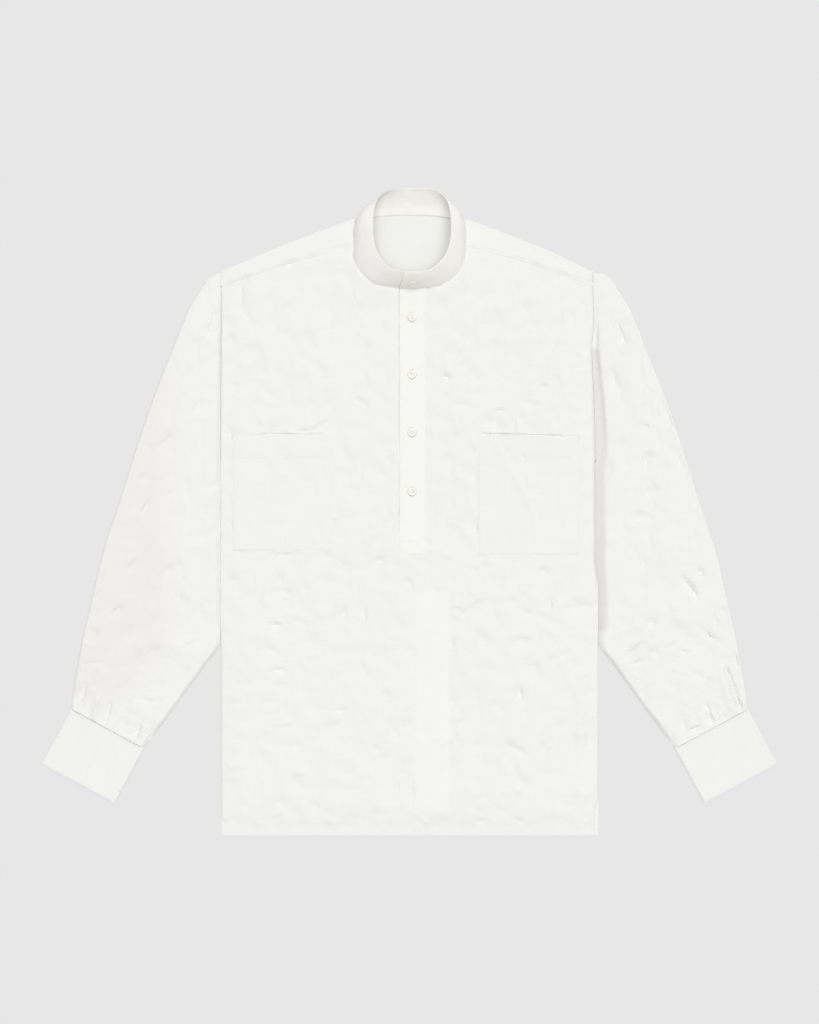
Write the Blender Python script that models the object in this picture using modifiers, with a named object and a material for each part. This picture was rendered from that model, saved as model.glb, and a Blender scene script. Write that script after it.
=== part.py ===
"""Mandarin collar shirt, laid flat on its back: a popover shirt with a half placket.

Metres, +Z up. The shirt lies on z = 0 with its collar towards +Y and its front up.
The origin is under the middle of its bounding box. Every cloth piece is a wall of its
own, and pieces that are sewn to each other stand a seam gap apart.
"""
import math

import bmesh
import bpy
import numpy as np
from mathutils import Matrix, Vector

# Driving dimensions of the cloth
WALL = 0.0015
TRIM_WALL = 0.0012
UNDER_WALL = 0.0010
BAND_WALL = 0.0020
SEAM_GAP = 0.0003

# Body
HALF_WIDTH = 0.2515
HEM_Y = -0.4312
SHOULDER_TIP_Y = 0.3210
NECK_POINT_X = 0.0750
NECK_POINT_Y = 0.3910
SHOULDER_CROWN = 0.0020
ARMHOLE_FLOOR_Y = 0.0800
ARMHOLE_DIP_LEFT = 0.0008
ARMHOLE_DIP_RIGHT = 0.0075
BACK_SEAM_Y = 0.2500
YOKE_DROP_NECK = 0.0360
YOKE_DROP_ARM = 0.0200

# Heights above the table
FRONT_TOP = 0.0060
HEM_TOP = 0.0048
HEM_EASE = 0.0350
SIDE_EASE = 0.0120
SIDE_FOOT = WALL + 0.0009
SIDE_ROLL = 0.0050
FOLD_REACH = 0.0032
YOKE_END_TOP = 0.0048

# The front's grid: its lines beside the neck, and where its rows start to fan towards it
NECK_LINES_X = (0.0725, 0.0718, 0.0690, 0.0630, 0.0530, 0.0400)
SLIT_MIDDLE_X = 0.0045
POCKET_COLUMNS = 6
ROWS_BELOW_PLACKET = 12
ROWS_BY_POCKETS = 7
ROWS_ON_CHEST = 4
FAN_START_Y = 0.2000
FAN_ROWS = 5
ROLL_STEPS = 4

# The yoke's lines: over a shoulder, under the collar, and by the armhole
YOKE_SHOULDER_LINES_X = (0.0735, 0.0960, 0.1250, 0.1550, 0.1850, 0.2100, 0.2300)
YOKE_COLLAR_LINES_X = (0.0690, 0.0610, 0.0480, 0.0250)
YOKE_END_STEP = 0.0040

# Neck loop, where the band is sewn on, and how far the cloth reaches under the band
NECK_HALF_WIDTH = 0.0755
NECK_MIDDLE_Y = 0.3480
NECK_DEPTH_FRONT = 0.0525
NECK_DEPTH_BACK = 0.0500
NECK_ROUND_FRONT = 2.6
NECK_ROUND_BACK = 4.0
NECK_LAP_FRONT = 0.0030
NECK_LAP_SIDE = 0.0020
NECK_LAP_BACK = 0.0015

# Rim of the band, as an outline seen from above, a little to the side it falls to
RIM_HALF_WIDTH = 0.0515
RIM_MIDDLE_X = 0.0033
RIM_MIDDLE_Y = 0.3738
RIM_DEPTH = 0.0572
RIM_ROUND_FRONT = 2.2
RIM_ROUND_BACK = 3.4
RIM_LAG = 0.020
BAND_LAP_OVER = 0.0140
BAND_LAP_UNDER = 0.0220
BAND_LAP_STEP = 0.0026
BAND_LAP_STARTS = 0.0300
BAND_LAP_ENDS = 0.0040
BAND_COLUMNS = 58
BAND_ROWS = 5

# Placket and its slit
PLACKET_LEFT = -0.0135
PLACKET_RIGHT = 0.0220
PLACKET_FLOOR_Y = -0.0567
SLIT_LEFT = -0.0110
SLIT_RIGHT = 0.0200
SLIT_FLOOR_Y = -0.0513
UNDER_LEFT = -0.0200
UNDER_RIGHT = 0.0140

# Chest pockets
POCKET_LEFT_OUTER = -0.2353
POCKET_LEFT_INNER = -0.1007
POCKET_RIGHT_INNER = 0.0913
POCKET_RIGHT_OUTER = 0.2273
POCKET_MOUTH_Y = 0.1025
POCKET_LEFT_FLOOR_Y = SLIT_FLOOR_Y
POCKET_RIGHT_FLOOR_Y = PLACKET_FLOOR_Y
POCKET_GAPE = 0.0016
POCKET_GAPE_REACH = 0.0450

# Cuffs
CUFF_CORNER = (0.3524, -0.3138)
CUFF_TILT = math.radians(28.3)
CUFF_WIDTH = 0.1115
CUFF_DEPTH = 0.0840
CUFF_TOP = 0.0054

# Sleeves
SLEEVE_TOP = 0.0060
SLEEVE_NARROW_TOP = 0.0048
SLEEVE_INNER_TOP = 2 * WALL + SEAM_GAP
SLEEVE_NARROW_WIDTH = 0.0060
SLEEVE_WIDENING = 0.0120
SLEEVE_EDGE_EASE = 0.0120
SLEEVE_LEAST_DIP = 0.0020
SLEEVE_ROWS = 28
SLEEVE_FIRST_CLOSED = 12

# Buttons
BUTTON_RADIUS = 0.00575
BUTTON_HEIGHT = 0.0022
BUTTON_HOLE_RADIUS = 0.00075
BUTTON_HOLE_STEP = 0.0014
BUTTON_X = 0.0034
BUTTON_YS = (0.2593, 0.1833, 0.1060, 0.0273)
BUTTON_LIFT = 0.0005
COLLAR_BUTTON_SHARE = 0.46

# A button's outline from the middle of its face to the middle of its back
BUTTON_PROFILE = (
    dict(radius=0.0, z=0.0016),
    dict(radius=0.0030, z=0.0016),
    dict(radius=0.0039, z=BUTTON_HEIGHT),
    dict(radius=0.0050, z=BUTTON_HEIGHT),
    dict(radius=BUTTON_RADIUS, z=0.0016),
    dict(radius=BUTTON_RADIUS, z=0.0009),
    dict(radius=0.0046, z=0.0),
    dict(radius=0.0, z=0.0),
)

# The sleeve from the shoulder to the cuff, a row for each section across it:
# how far its inner edge stands out from the side seam, that edge's y, the outer
# edge's x and y, and the width of the dip beside the body.
SLEEVE_SECTIONS = (
    dict(inner_out=0.0000, inner_y=0.3200, outer_x=0.2590, outer_y=0.3180, dip=0.002),
    dict(inner_out=0.0000, inner_y=0.3110, outer_x=0.2690, outer_y=0.3105, dip=0.004),
    dict(inner_out=0.0000, inner_y=0.2960, outer_x=0.2775, outer_y=0.2975, dip=0.005),
    dict(inner_out=0.0000, inner_y=0.2660, outer_x=0.2955, outer_y=0.2680, dip=0.006),
    dict(inner_out=0.0000, inner_y=0.2150, outer_x=0.3175, outer_y=0.2130, dip=0.007),
    dict(inner_out=0.0000, inner_y=0.1500, outer_x=0.3425, outer_y=0.1500, dip=0.010),
    dict(inner_out=0.0000, inner_y=0.0820, outer_x=0.3655, outer_y=0.0820, dip=0.013),
    dict(inner_out=0.0000, inner_y=0.0150, outer_x=0.3870, outer_y=0.0130, dip=0.016),
    dict(inner_out=0.0000, inner_y=-0.0520, outer_x=0.4085, outer_y=-0.0520, dip=0.014),
    dict(inner_out=0.0000, inner_y=-0.1180, outer_x=0.4245, outer_y=-0.1210, dip=0.010),
    dict(inner_out=0.0000, inner_y=-0.1730, outer_x=0.4360, outer_y=-0.1700, dip=0.006),
    dict(inner_out=0.0195, inner_y=-0.2030, outer_x=0.4410, outer_y=-0.1980, dip=0.004),
    dict(inner_out=0.0450, inner_y=-0.2380, outer_x=0.4455, outer_y=-0.2230, dip=0.004),
    dict(inner_out=0.0740, inner_y=-0.2780, outer_x=0.4490, outer_y=-0.2450, dip=0.004),
)

# The band round the neck, by the share of the way from centre front to centre back:
# height of its lower edge, height of its rim, and how far its face swells between.
BAND_STATIONS = (
    dict(share=0.00, foot=0.0092, rim=0.0370, swell=0.0030),
    dict(share=0.12, foot=0.0082, rim=0.0360, swell=0.0030),
    dict(share=0.30, foot=0.0077, rim=0.0300, swell=0.0020),
    dict(share=0.48, foot=0.0078, rim=0.0310, swell=0.0040),
    dict(share=0.58, foot=0.0078, rim=0.0310, swell=0.0070),
    dict(share=0.65, foot=0.0060, rim=0.0280, swell=0.0080),
    dict(share=0.72, foot=0.0030, rim=0.0230, swell=0.0070),
    dict(share=0.85, foot=0.0021, rim=0.0170, swell=0.0045),
    dict(share=1.00, foot=0.0020, rim=0.0150, swell=0.0025),
)

# The largest soft folds of the upper cloth: a line from one end to the other, how far
# the fold reaches to each side, and its height, less than zero in a trough.
FOLDS = (
    dict(name="centre release", x0=0.0287, y0=-0.112, x1=0.0287, y1=-0.400, reach=0.022, lift=0.0009),
    dict(name="left shoulder tuck", x0=-0.2190, y0=0.300, x1=-0.2220, y1=0.255, reach=0.009, lift=-0.0014),
    dict(name="right pocket slant", x0=0.1230, y0=0.085, x1=0.1660, y1=-0.030, reach=0.014, lift=-0.0011),
    dict(name="left mouth pucker", x0=-0.1500, y0=0.121, x1=-0.1150, y1=0.113, reach=0.012, lift=0.0012),
    dict(name="right mouth pucker", x0=0.1080, y0=0.135, x1=0.1420, y1=0.112, reach=0.012, lift=0.0012),
    dict(name="left chest wave", x0=-0.1100, y0=0.235, x1=-0.0700, y1=0.130, reach=0.018, lift=0.0008),
    dict(name="right chest wave", x0=0.1150, y0=0.245, x1=0.0700, y1=0.165, reach=0.018, lift=-0.0008),
    dict(name="left flank wave", x0=-0.2000, y0=-0.095, x1=-0.1700, y1=-0.330, reach=0.024, lift=0.0008),
    dict(name="left belly wave", x0=-0.0900, y0=-0.100, x1=-0.0700, y1=-0.300, reach=0.022, lift=-0.0008),
    dict(name="right flank wave", x0=0.1500, y0=-0.120, x1=0.1850, y1=-0.340, reach=0.024, lift=-0.0008),
    dict(name="right belly wave", x0=0.0950, y0=-0.095, x1=0.1050, y1=-0.250, reach=0.020, lift=0.0007),
)

SLEEVE_FOLDS = (
    dict(name="cuff pleat", x0=0.4210, y0=-0.165, x1=0.4350, y1=-0.255, reach=0.008, lift=0.0014),
    dict(name="cuff dent", x0=0.3700, y0=-0.275, x1=0.3950, y1=-0.262, reach=0.010, lift=-0.0012),
    dict(name="elbow slant", x0=0.2900, y0=-0.195, x1=0.3400, y1=-0.165, reach=0.012, lift=0.0012),
    dict(name="forearm slant", x0=0.3480, y0=-0.150, x1=0.3950, y1=-0.185, reach=0.012, lift=-0.0012),
    dict(name="elbow hollow", x0=0.3650, y0=-0.080, x1=0.3850, y1=-0.120, reach=0.012, lift=-0.0013),
    dict(name="upper hollow", x0=0.3300, y0=-0.020, x1=0.3450, y1=-0.075, reach=0.014, lift=0.0010),
    dict(name="arm wave", x0=0.3050, y0=0.060, x1=0.3300, y1=-0.005, reach=0.014, lift=-0.0010),
    dict(name="shoulder wave", x0=0.2900, y0=0.190, x1=0.3100, y1=0.110, reach=0.010, lift=0.0010),
)


def ease(share):
    """Smooth step from 0 to 1."""
    share = min(max(share, 0.0), 1.0)
    return share * share * (3.0 - 2.0 * share)


def column_of(rows, key):
    """The values of one named column of a table."""
    return [row[key] for row in rows]


def smooth_value(rows, key, place, by=None):
    """A table's column read at a place between its rows, along a smooth curve."""
    values = column_of(rows, key)
    stations = column_of(rows, by) if by else list(range(len(rows)))
    last = len(rows) - 1
    index = int(np.searchsorted(stations, place, side="right")) - 1
    index = min(max(index, 0), last - 1)
    before = max(index - 1, 0)
    after = min(index + 2, last)
    span = stations[index + 1] - stations[index]
    share = (place - stations[index]) / span
    slope_in = (values[index + 1] - values[before]) / (stations[index + 1] - stations[before])
    slope_out = (values[after] - values[index]) / (stations[after] - stations[index])
    square = share * share
    cube = square * share
    return ((2 * cube - 3 * square + 1) * values[index]
            + (cube - 2 * square + share) * span * slope_in
            + (3 * square - 2 * cube) * values[index + 1]
            + (cube - square) * span * slope_out)


def fold_height(folds, x, y):
    """Height that the soft folds of a table add at a point seen from above."""
    height = 0.0
    for fold in folds:
        along_x = fold["x1"] - fold["x0"]
        along_y = fold["y1"] - fold["y0"]
        length = math.hypot(along_x, along_y)
        share = ((x - fold["x0"]) * along_x + (y - fold["y0"]) * along_y) / length ** 2
        beyond = max(0.0, -share, share - 1.0) * length
        across = ((x - fold["x0"]) * along_y - (y - fold["y0"]) * along_x) / length
        distance = math.hypot(across, beyond) / fold["reach"]
        height += fold["lift"] * math.exp(-distance * distance)
    return height


def shoulder_y(x):
    """The shoulder line's y, from the neck point to the tip, slightly crowned."""
    share = (abs(x) - NECK_POINT_X) / (HALF_WIDTH - NECK_POINT_X)
    straight = NECK_POINT_Y + share * (SHOULDER_TIP_Y - NECK_POINT_Y)
    crown = SHOULDER_CROWN * math.sin(math.pi * min(max(share, 0.0), 1.0))
    return straight + crown


def yoke_seam_y(x):
    """The front yoke seam's y."""
    share = (abs(x) - NECK_POINT_X) / (HALF_WIDTH - NECK_POINT_X)
    return shoulder_y(x) - YOKE_DROP_NECK - share * (YOKE_DROP_ARM - YOKE_DROP_NECK)


def side_x(side, y):
    """The side seam's x: straight below, and drawn in along the armhole."""
    dip = ARMHOLE_DIP_RIGHT if side > 0 else ARMHOLE_DIP_LEFT
    share = (y - ARMHOLE_FLOOR_Y) / (SHOULDER_TIP_Y - ARMHOLE_FLOOR_Y)
    return side * (HALF_WIDTH - dip * ease(share))


def seam_end_x(side):
    """The x where the front yoke seam meets the armhole."""
    return side_x(side, yoke_seam_y(HALF_WIDTH))


def neck_front_y(x):
    """The front's neckline, a little inside the loop that the band is sewn to."""
    half = NECK_HALF_WIDTH - NECK_LAP_FRONT
    depth = NECK_DEPTH_FRONT - NECK_LAP_FRONT
    inside = max(0.0, 1.0 - (abs(x) / half) ** NECK_ROUND_FRONT)
    return NECK_MIDDLE_Y - depth * inside ** (1.0 / NECK_ROUND_FRONT)


def neck_back_y(x):
    """The back neckline of the yoke's lower layer."""
    inside = max(0.0, 1.0 - (abs(x) / NECK_HALF_WIDTH) ** NECK_ROUND_BACK)
    curve = NECK_MIDDLE_Y + NECK_DEPTH_BACK * inside ** (1.0 / NECK_ROUND_BACK)
    return max(curve + NECK_LAP_BACK, shoulder_y(NECK_POINT_X) - FOLD_REACH)


def front_height(x, y):
    """Height of the front's upper face, without its rolled sides."""
    top = HEM_TOP + (FRONT_TOP - HEM_TOP) * ease((y - HEM_Y) / HEM_EASE)
    inset = HALF_WIDTH - abs(x)
    return top + fold_height(FOLDS, x, y) * ease(inset / SIDE_EASE) * ease((y - HEM_Y) / HEM_EASE)


def cloth_material(name, colour, roughness):
    """A plain matt cloth."""
    material = bpy.data.materials.new(name)
    material.use_nodes = True
    shader = material.node_tree.nodes["Principled BSDF"]
    shader.inputs["Base Color"].default_value = (*colour, 1.0)
    shader.inputs["Roughness"].default_value = roughness
    shader.inputs["Metallic"].default_value = 0.0
    material.diffuse_color = (*colour, 1.0)
    return material


def add_object(collection, name, points, faces, colour, roughness=0.9):
    """A mesh object of the points that its faces use."""
    used = sorted({index for face in faces for index in face})
    place = {old: new for new, old in enumerate(used)}
    mesh = bpy.data.meshes.new(name)
    mesh.from_pydata([points[old] for old in used], [], [[place[i] for i in face] for face in faces])
    mesh.update()
    mesh.shade_smooth()
    mesh.set_sharp_from_angle(angle=math.radians(40))
    obj = bpy.data.objects.new(name, mesh)
    collection.objects.link(obj)
    obj.data.materials.append(cloth_material(name + "_finish", colour, roughness))
    return obj


def thicken(obj, thickness, offset):
    """Give an open cloth surface its wall."""
    solidify = obj.modifiers.new("wall", "SOLIDIFY")
    solidify.thickness = thickness
    solidify.offset = offset
    solidify.use_rim = True
    return obj


def grid_faces(rows, columns, keep=None, closed_from=None, flip=False):
    """Quads of a grid, of the kept cells only, closed into a tube from a given row on."""
    faces = []
    for row in range(rows - 1):
        for column in range(columns - 1):
            if keep is None or keep(row, column):
                corner = row * columns + column
                faces.append((corner, corner + 1, corner + columns + 1, corner + columns))
        if closed_from is not None and row >= closed_from:
            last = row * columns + columns - 1
            first = row * columns
            faces.append((last, first, first + columns, last + columns))
    if flip:
        faces = [face[::-1] for face in faces]
    return faces


def spaced(start, stop, count):
    """Evenly spaced values from start up to, and without, stop."""
    return [start + (stop - start) * step / count for step in range(count)]


def front_columns():
    """The x of each line of the front's grid, but for the rolled sides."""
    columns = spaced(POCKET_LEFT_OUTER, POCKET_LEFT_INNER, POCKET_COLUMNS) + [POCKET_LEFT_INNER]
    columns += [-x for x in NECK_LINES_X] + [UNDER_LEFT, PLACKET_LEFT, SLIT_LEFT]
    columns += [SLIT_MIDDLE_X, UNDER_RIGHT, SLIT_RIGHT, PLACKET_RIGHT] + list(reversed(NECK_LINES_X))
    columns += spaced(POCKET_RIGHT_INNER, POCKET_RIGHT_OUTER, POCKET_COLUMNS) + [POCKET_RIGHT_OUTER]
    return columns


def front_rows():
    """The y of each line of the front's grid, up to where the rows fan to the neck."""
    rows = [HEM_Y] + spaced(HEM_Y + HEM_EASE / 2, PLACKET_FLOOR_Y, ROWS_BELOW_PLACKET)
    rows += [PLACKET_FLOOR_Y, SLIT_FLOOR_Y] + spaced(SLIT_FLOOR_Y, POCKET_MOUTH_Y, ROWS_BY_POCKETS)[1:]
    return rows + spaced(POCKET_MOUTH_Y, FAN_START_Y, ROWS_ON_CHEST) + [FAN_START_Y]


def side_roll(step):
    """Inset and share of the height at a step of a rolled side edge."""
    angle = 0.5 * math.pi * step / ROLL_STEPS
    return SIDE_ROLL * (1.0 - math.cos(angle)), math.sin(angle)


def front_grid():
    """Points of the front's upper face, with the x and y lines that they lie on."""
    inner = front_columns()
    rows = front_rows()
    points = []
    for row in range(len(rows) + FAN_ROWS):
        fan = max(0, row - len(rows) + 1) / FAN_ROWS
        level = rows[min(row, len(rows) - 1)]

        def row_y(x):
            """Where this row runs at x."""
            top = neck_front_y(x) if abs(x) < NECK_HALF_WIDTH - NECK_LAP_FRONT else yoke_seam_y(x)
            return level + fan * (top - SEAM_GAP / 2 - level)

        for step in range(ROLL_STEPS):
            inset, rise = side_roll(step)
            y = row_y(seam_end_x(-1) + inset)
            height = front_height(-HALF_WIDTH + SIDE_ROLL, y)
            points.append((side_x(-1, y) + inset, y, SIDE_FOOT + (height - SIDE_FOOT) * rise))
        for x in inner:
            y = row_y(x)
            points.append((x, y, front_height(x, y)))
        for step in reversed(range(ROLL_STEPS)):
            inset, rise = side_roll(step)
            y = row_y(seam_end_x(1) - inset)
            height = front_height(HALF_WIDTH - SIDE_ROLL, y)
            points.append((side_x(1, y) - inset, y, SIDE_FOOT + (height - SIDE_FOOT) * rise))
    columns = ROLL_STEPS * 2 + len(inner)
    lines_x = [None] * ROLL_STEPS + inner + [None] * ROLL_STEPS
    lines_y = rows + [None] * FAN_ROWS
    return points, columns, lines_x, lines_y


def grid_patch(grid, x0, x1, y0, y1, lift):
    """Points and faces of the front's grid between two columns and two rows, moved out."""
    points, columns, lines_x, lines_y = grid
    first = lines_x.index(x0)
    last = lines_x.index(x1)
    bottom = lines_y.index(y0)
    top = len(lines_y) - 1 if y1 is None else lines_y.index(y1)
    patch = []
    for row in range(bottom, top + 1):
        for column in range(first, last + 1):
            x, y, z = points[row * columns + column]
            patch.append((x, y, z + lift(x, y)))
    return patch, grid_faces(top - bottom + 1, last - first + 1)


def build_front(collection, grid):
    """Front panel with the placket's slit cut down from its neckline."""
    points, columns, lines_x, lines_y = grid
    slit_first = lines_x.index(SLIT_LEFT)
    slit_last = lines_x.index(SLIT_RIGHT)
    slit_floor = lines_y.index(SLIT_FLOOR_Y)

    def keep(row, column):
        """Whether a cell is cloth."""
        return row < slit_floor or column < slit_first or column >= slit_last

    faces = grid_faces(len(lines_y), columns, keep)
    thicken(add_object(collection, "front", points, faces, (0.86, 0.86, 0.84)), WALL, -1.0)


def build_back(collection):
    """Back panel below the yoke, flat on the table."""
    levels = [HEM_Y] + spaced(HEM_Y + 0.06, BACK_SEAM_Y, 9) + [BACK_SEAM_Y - SEAM_GAP / 2]
    shares = (-1.0, -0.5, 0.0, 0.5, 1.0)
    points = []
    for y in levels:
        for share in shares:
            points.append((abs(share) * side_x(math.copysign(1, share), y), y, WALL))
    faces = grid_faces(len(levels), len(shares))
    thicken(add_object(collection, "back", points, faces, (0.85, 0.85, 0.83)), WALL, -1.0)


def build_yoke(collection):
    """Yoke: one layer across the back, folded over each shoulder down to the front seam."""
    end = HALF_WIDTH - NECK_LAP_SIDE
    neck_x = YOKE_SHOULDER_LINES_X[0]
    half = list(reversed(YOKE_SHOULDER_LINES_X)) + list(YOKE_COLLAR_LINES_X)
    columns = [-end, -end + YOKE_END_STEP] + [-x for x in half] + [0.0] + half[::-1]
    columns += [end - YOKE_END_STEP, end]
    back_shares = (0.0, 0.25, 0.5, 0.75, 1.0)
    fold_steps = 6
    top_shares = (0.0, 0.33, 0.66, 1.0)
    rows = len(back_shares) + fold_steps - 1 + len(top_shares)
    points = [None] * (rows * len(columns))
    for number, column_x in enumerate(columns):
        at_end = number in (0, len(columns) - 1)
        by_arm = number in (0, 1, len(columns) - 2, len(columns) - 1)
        side = math.copysign(1, column_x)
        x = seam_end_x(side) + column_x - side * end if by_arm else column_x
        over = abs(x) >= neck_x
        top = YOKE_END_TOP if at_end else FRONT_TOP
        start = BACK_SEAM_Y + SEAM_GAP / 2
        stop = shoulder_y(x) - FOLD_REACH if over else neck_back_y(x)
        path = [(start + share * (stop - start), 0.0) for share in back_shares]
        for step in range(1, fold_steps):
            angle = math.pi * (step / fold_steps - 0.5)
            path.append((stop + FOLD_REACH * math.cos(angle), 0.5 * top * (1.0 + math.sin(angle))))
        seam = yoke_seam_y(x) + SEAM_GAP / 2
        for share in top_shares:
            y = stop + share * (seam - stop)
            path.append((y, top + share * fold_height(FOLDS, x, y)))
        for row, (y, z) in enumerate(path):
            place = side_x(side, y) + column_x - side * end if by_arm else x
            points[row * len(columns) + number] = (place, y, z)
    kept_middle = len(back_shares) - 1

    def keep(row, column):
        """The fold and the upper layer are left out across the neck."""
        over = min(abs(columns[column]), abs(columns[column + 1])) >= neck_x
        return row < kept_middle or (over and columns[column] * columns[column + 1] > 0)

    faces = grid_faces(rows, len(columns), keep, flip=True)
    thicken(add_object(collection, "yoke", points, faces, (0.86, 0.86, 0.84)), WALL, -1.0)


def loop_outline(half_width, middle_y, depth_front, depth_back, round_front, round_back):
    """Dense outline of a rounded loop from centre front to centre back, on the right."""
    outline = []
    for step in range(361):
        angle = math.pi * step / 360
        front = angle < 0.5 * math.pi
        power = 2.0 / (round_front if front else round_back)
        depth = depth_front if front else depth_back
        reach = abs(math.cos(angle)) ** power * depth
        outline.append((half_width * math.sin(angle) ** power,
                        middle_y - reach if front else middle_y + reach))
    return np.array(outline)


def along_outline(outline, share):
    """The x and y of an outline at a share of its length, and the length of its half."""
    steps = np.hypot(*np.diff(outline, axis=0).T)
    length = np.concatenate([[0.0], np.cumsum(steps)])
    share = share % 2.0
    mirrored = share > 1.0
    place = (2.0 - share if mirrored else share) * length[-1]
    x = float(np.interp(place, length, outline[:, 0]))
    y = float(np.interp(place, length, outline[:, 1]))
    return (-x if mirrored else x), y, length[-1]


NECK_LOOP = loop_outline(NECK_HALF_WIDTH, NECK_MIDDLE_Y, NECK_DEPTH_FRONT, NECK_DEPTH_BACK,
                         NECK_ROUND_FRONT, NECK_ROUND_BACK)
RIM_LOOP = loop_outline(RIM_HALF_WIDTH, RIM_MIDDLE_Y, RIM_DEPTH, RIM_DEPTH,
                        RIM_ROUND_FRONT, RIM_ROUND_BACK)


def band_point(share, rise, inset=0.0):
    """A point of the band's outer face: share runs 0 at centre front, 1 at centre back,
    2 at centre front again; rise runs 0 at the neck seam to 1 at the rim."""
    turn = share % 2.0
    half = 2.0 - turn if turn > 1.0 else turn
    foot = smooth_value(BAND_STATIONS, "foot", half, by="share")
    rim = smooth_value(BAND_STATIONS, "rim", half, by="share")
    swell = smooth_value(BAND_STATIONS, "swell", half, by="share")
    lag = RIM_LAG * math.sin(math.pi * turn)
    foot_x, foot_y, _ = along_outline(NECK_LOOP, turn)
    rim_x, rim_y, _ = along_outline(RIM_LOOP, turn - lag)
    ahead_x, ahead_y, _ = along_outline(NECK_LOOP, turn + 0.01)
    behind_x, behind_y, _ = along_outline(NECK_LOOP, turn - 0.01)
    tangent = Vector((ahead_x - behind_x, ahead_y - behind_y, 0.0)).normalized()
    foot_point = Vector((foot_x, foot_y, foot))
    rim_point = Vector((rim_x + RIM_MIDDLE_X, rim_y, rim))
    chord = rim_point - foot_point
    outward = tangent.cross(chord).normalized()
    inward = Vector((-tangent.y, tangent.x, 0.0))
    return foot_point + chord * rise + outward * (4.0 * rise * (1.0 - rise) * swell) + inward * inset


def build_band(collection):
    """Standing band: one strip round the neck whose ends lap at centre front."""
    half_length = along_outline(NECK_LOOP, 0.0)[2]
    start = -BAND_LAP_OVER / half_length
    stop = 2.0 + BAND_LAP_UNDER / half_length
    lap_from = 2.0 - (BAND_LAP_OVER + BAND_LAP_STARTS) / half_length
    lap_full = 2.0 - (BAND_LAP_OVER + BAND_LAP_ENDS) / half_length
    points = []
    for row in range(BAND_ROWS + 1):
        for column in range(BAND_COLUMNS + 1):
            share = start + (stop - start) * column / BAND_COLUMNS
            inset = BAND_LAP_STEP * ease((share - lap_from) / (lap_full - lap_from))
            points.append(band_point(share, row / BAND_ROWS, inset))
    faces = grid_faces(BAND_ROWS + 1, BAND_COLUMNS + 1)
    thicken(add_object(collection, "collar_band", points, faces, (0.80, 0.79, 0.76)), BAND_WALL, -1.0)


def build_placket(collection, grid):
    """Upper placket strip over the slit, and the strip under it."""
    def over(x, y):
        """Seam gap above the front."""
        return SEAM_GAP

    def under(x, y):
        """Below the front's lower face, by its wall and the strip's."""
        return -(WALL + 2 * SEAM_GAP)

    points, faces = grid_patch(grid, PLACKET_LEFT, PLACKET_RIGHT, PLACKET_FLOOR_Y, None, over)
    thicken(add_object(collection, "placket", points, faces, (0.89, 0.89, 0.86)), TRIM_WALL, 1.0)
    points, faces = grid_patch(grid, UNDER_LEFT, UNDER_RIGHT, PLACKET_FLOOR_Y, None, under)
    thicken(add_object(collection, "placket_under", points, faces, (0.88, 0.88, 0.85)), UNDER_WALL, -1.0)


def build_pocket(collection, grid, name, x0, x1, floor_y):
    """Patch pocket on the front, a little open at its mouth."""
    middle = 0.5 * (x0 + x1)
    half = 0.5 * (x1 - x0)

    def lift(x, y):
        """Seam gap above the front, more towards the middle of the mouth."""
        across = 1.0 - ease(abs(x - middle) / half)
        up = ease(1.0 - (POCKET_MOUTH_Y - y) / POCKET_GAPE_REACH)
        return SEAM_GAP + POCKET_GAPE * across * up

    points, faces = grid_patch(grid, x0, x1, floor_y, POCKET_MOUTH_Y, lift)
    thicken(add_object(collection, name, points, faces, (0.87, 0.87, 0.85)), TRIM_WALL, 1.0)


def cuff_point(side, along, down):
    """A point of the cuff's plan: along its seam from the inner corner, and down its depth."""
    x = CUFF_CORNER[0] + along * math.cos(CUFF_TILT) + down * math.sin(CUFF_TILT)
    y = CUFF_CORNER[1] + along * math.sin(CUFF_TILT) - down * math.cos(CUFF_TILT)
    return side * x, y


def flat_tube_section(width, top, dip):
    """Outer face of a flattened sleeve across its width, as (across, z, over) values: out
    along the table, round the outer fold, and back over the top to the dip by the body.
    The last value says how much of the upper cloth's folds a point takes."""
    inner_top = SLEEVE_INNER_TOP
    reach = width - FOLD_REACH
    section = [(reach * step / 4, 0.0, 0.0) for step in range(4)]
    for step in range(6):
        angle = math.pi * (step / 5 - 0.5)
        section.append((reach + FOLD_REACH * math.cos(angle), 0.5 * top * (1.0 + math.sin(angle)), 0.0))
    dip_share = min(dip / reach, 1.0)
    shares = [1.0 - (1.0 - dip_share) * step / 7 for step in range(1, 8)]
    shares += [dip_share * step / 3 for step in (2, 1, 0)]
    for share in shares:
        rise = math.sin(0.5 * math.pi * min(share / dip_share, 1.0))
        section.append((reach * share, inner_top + (top - inner_top) * rise, rise))
    return section


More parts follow.
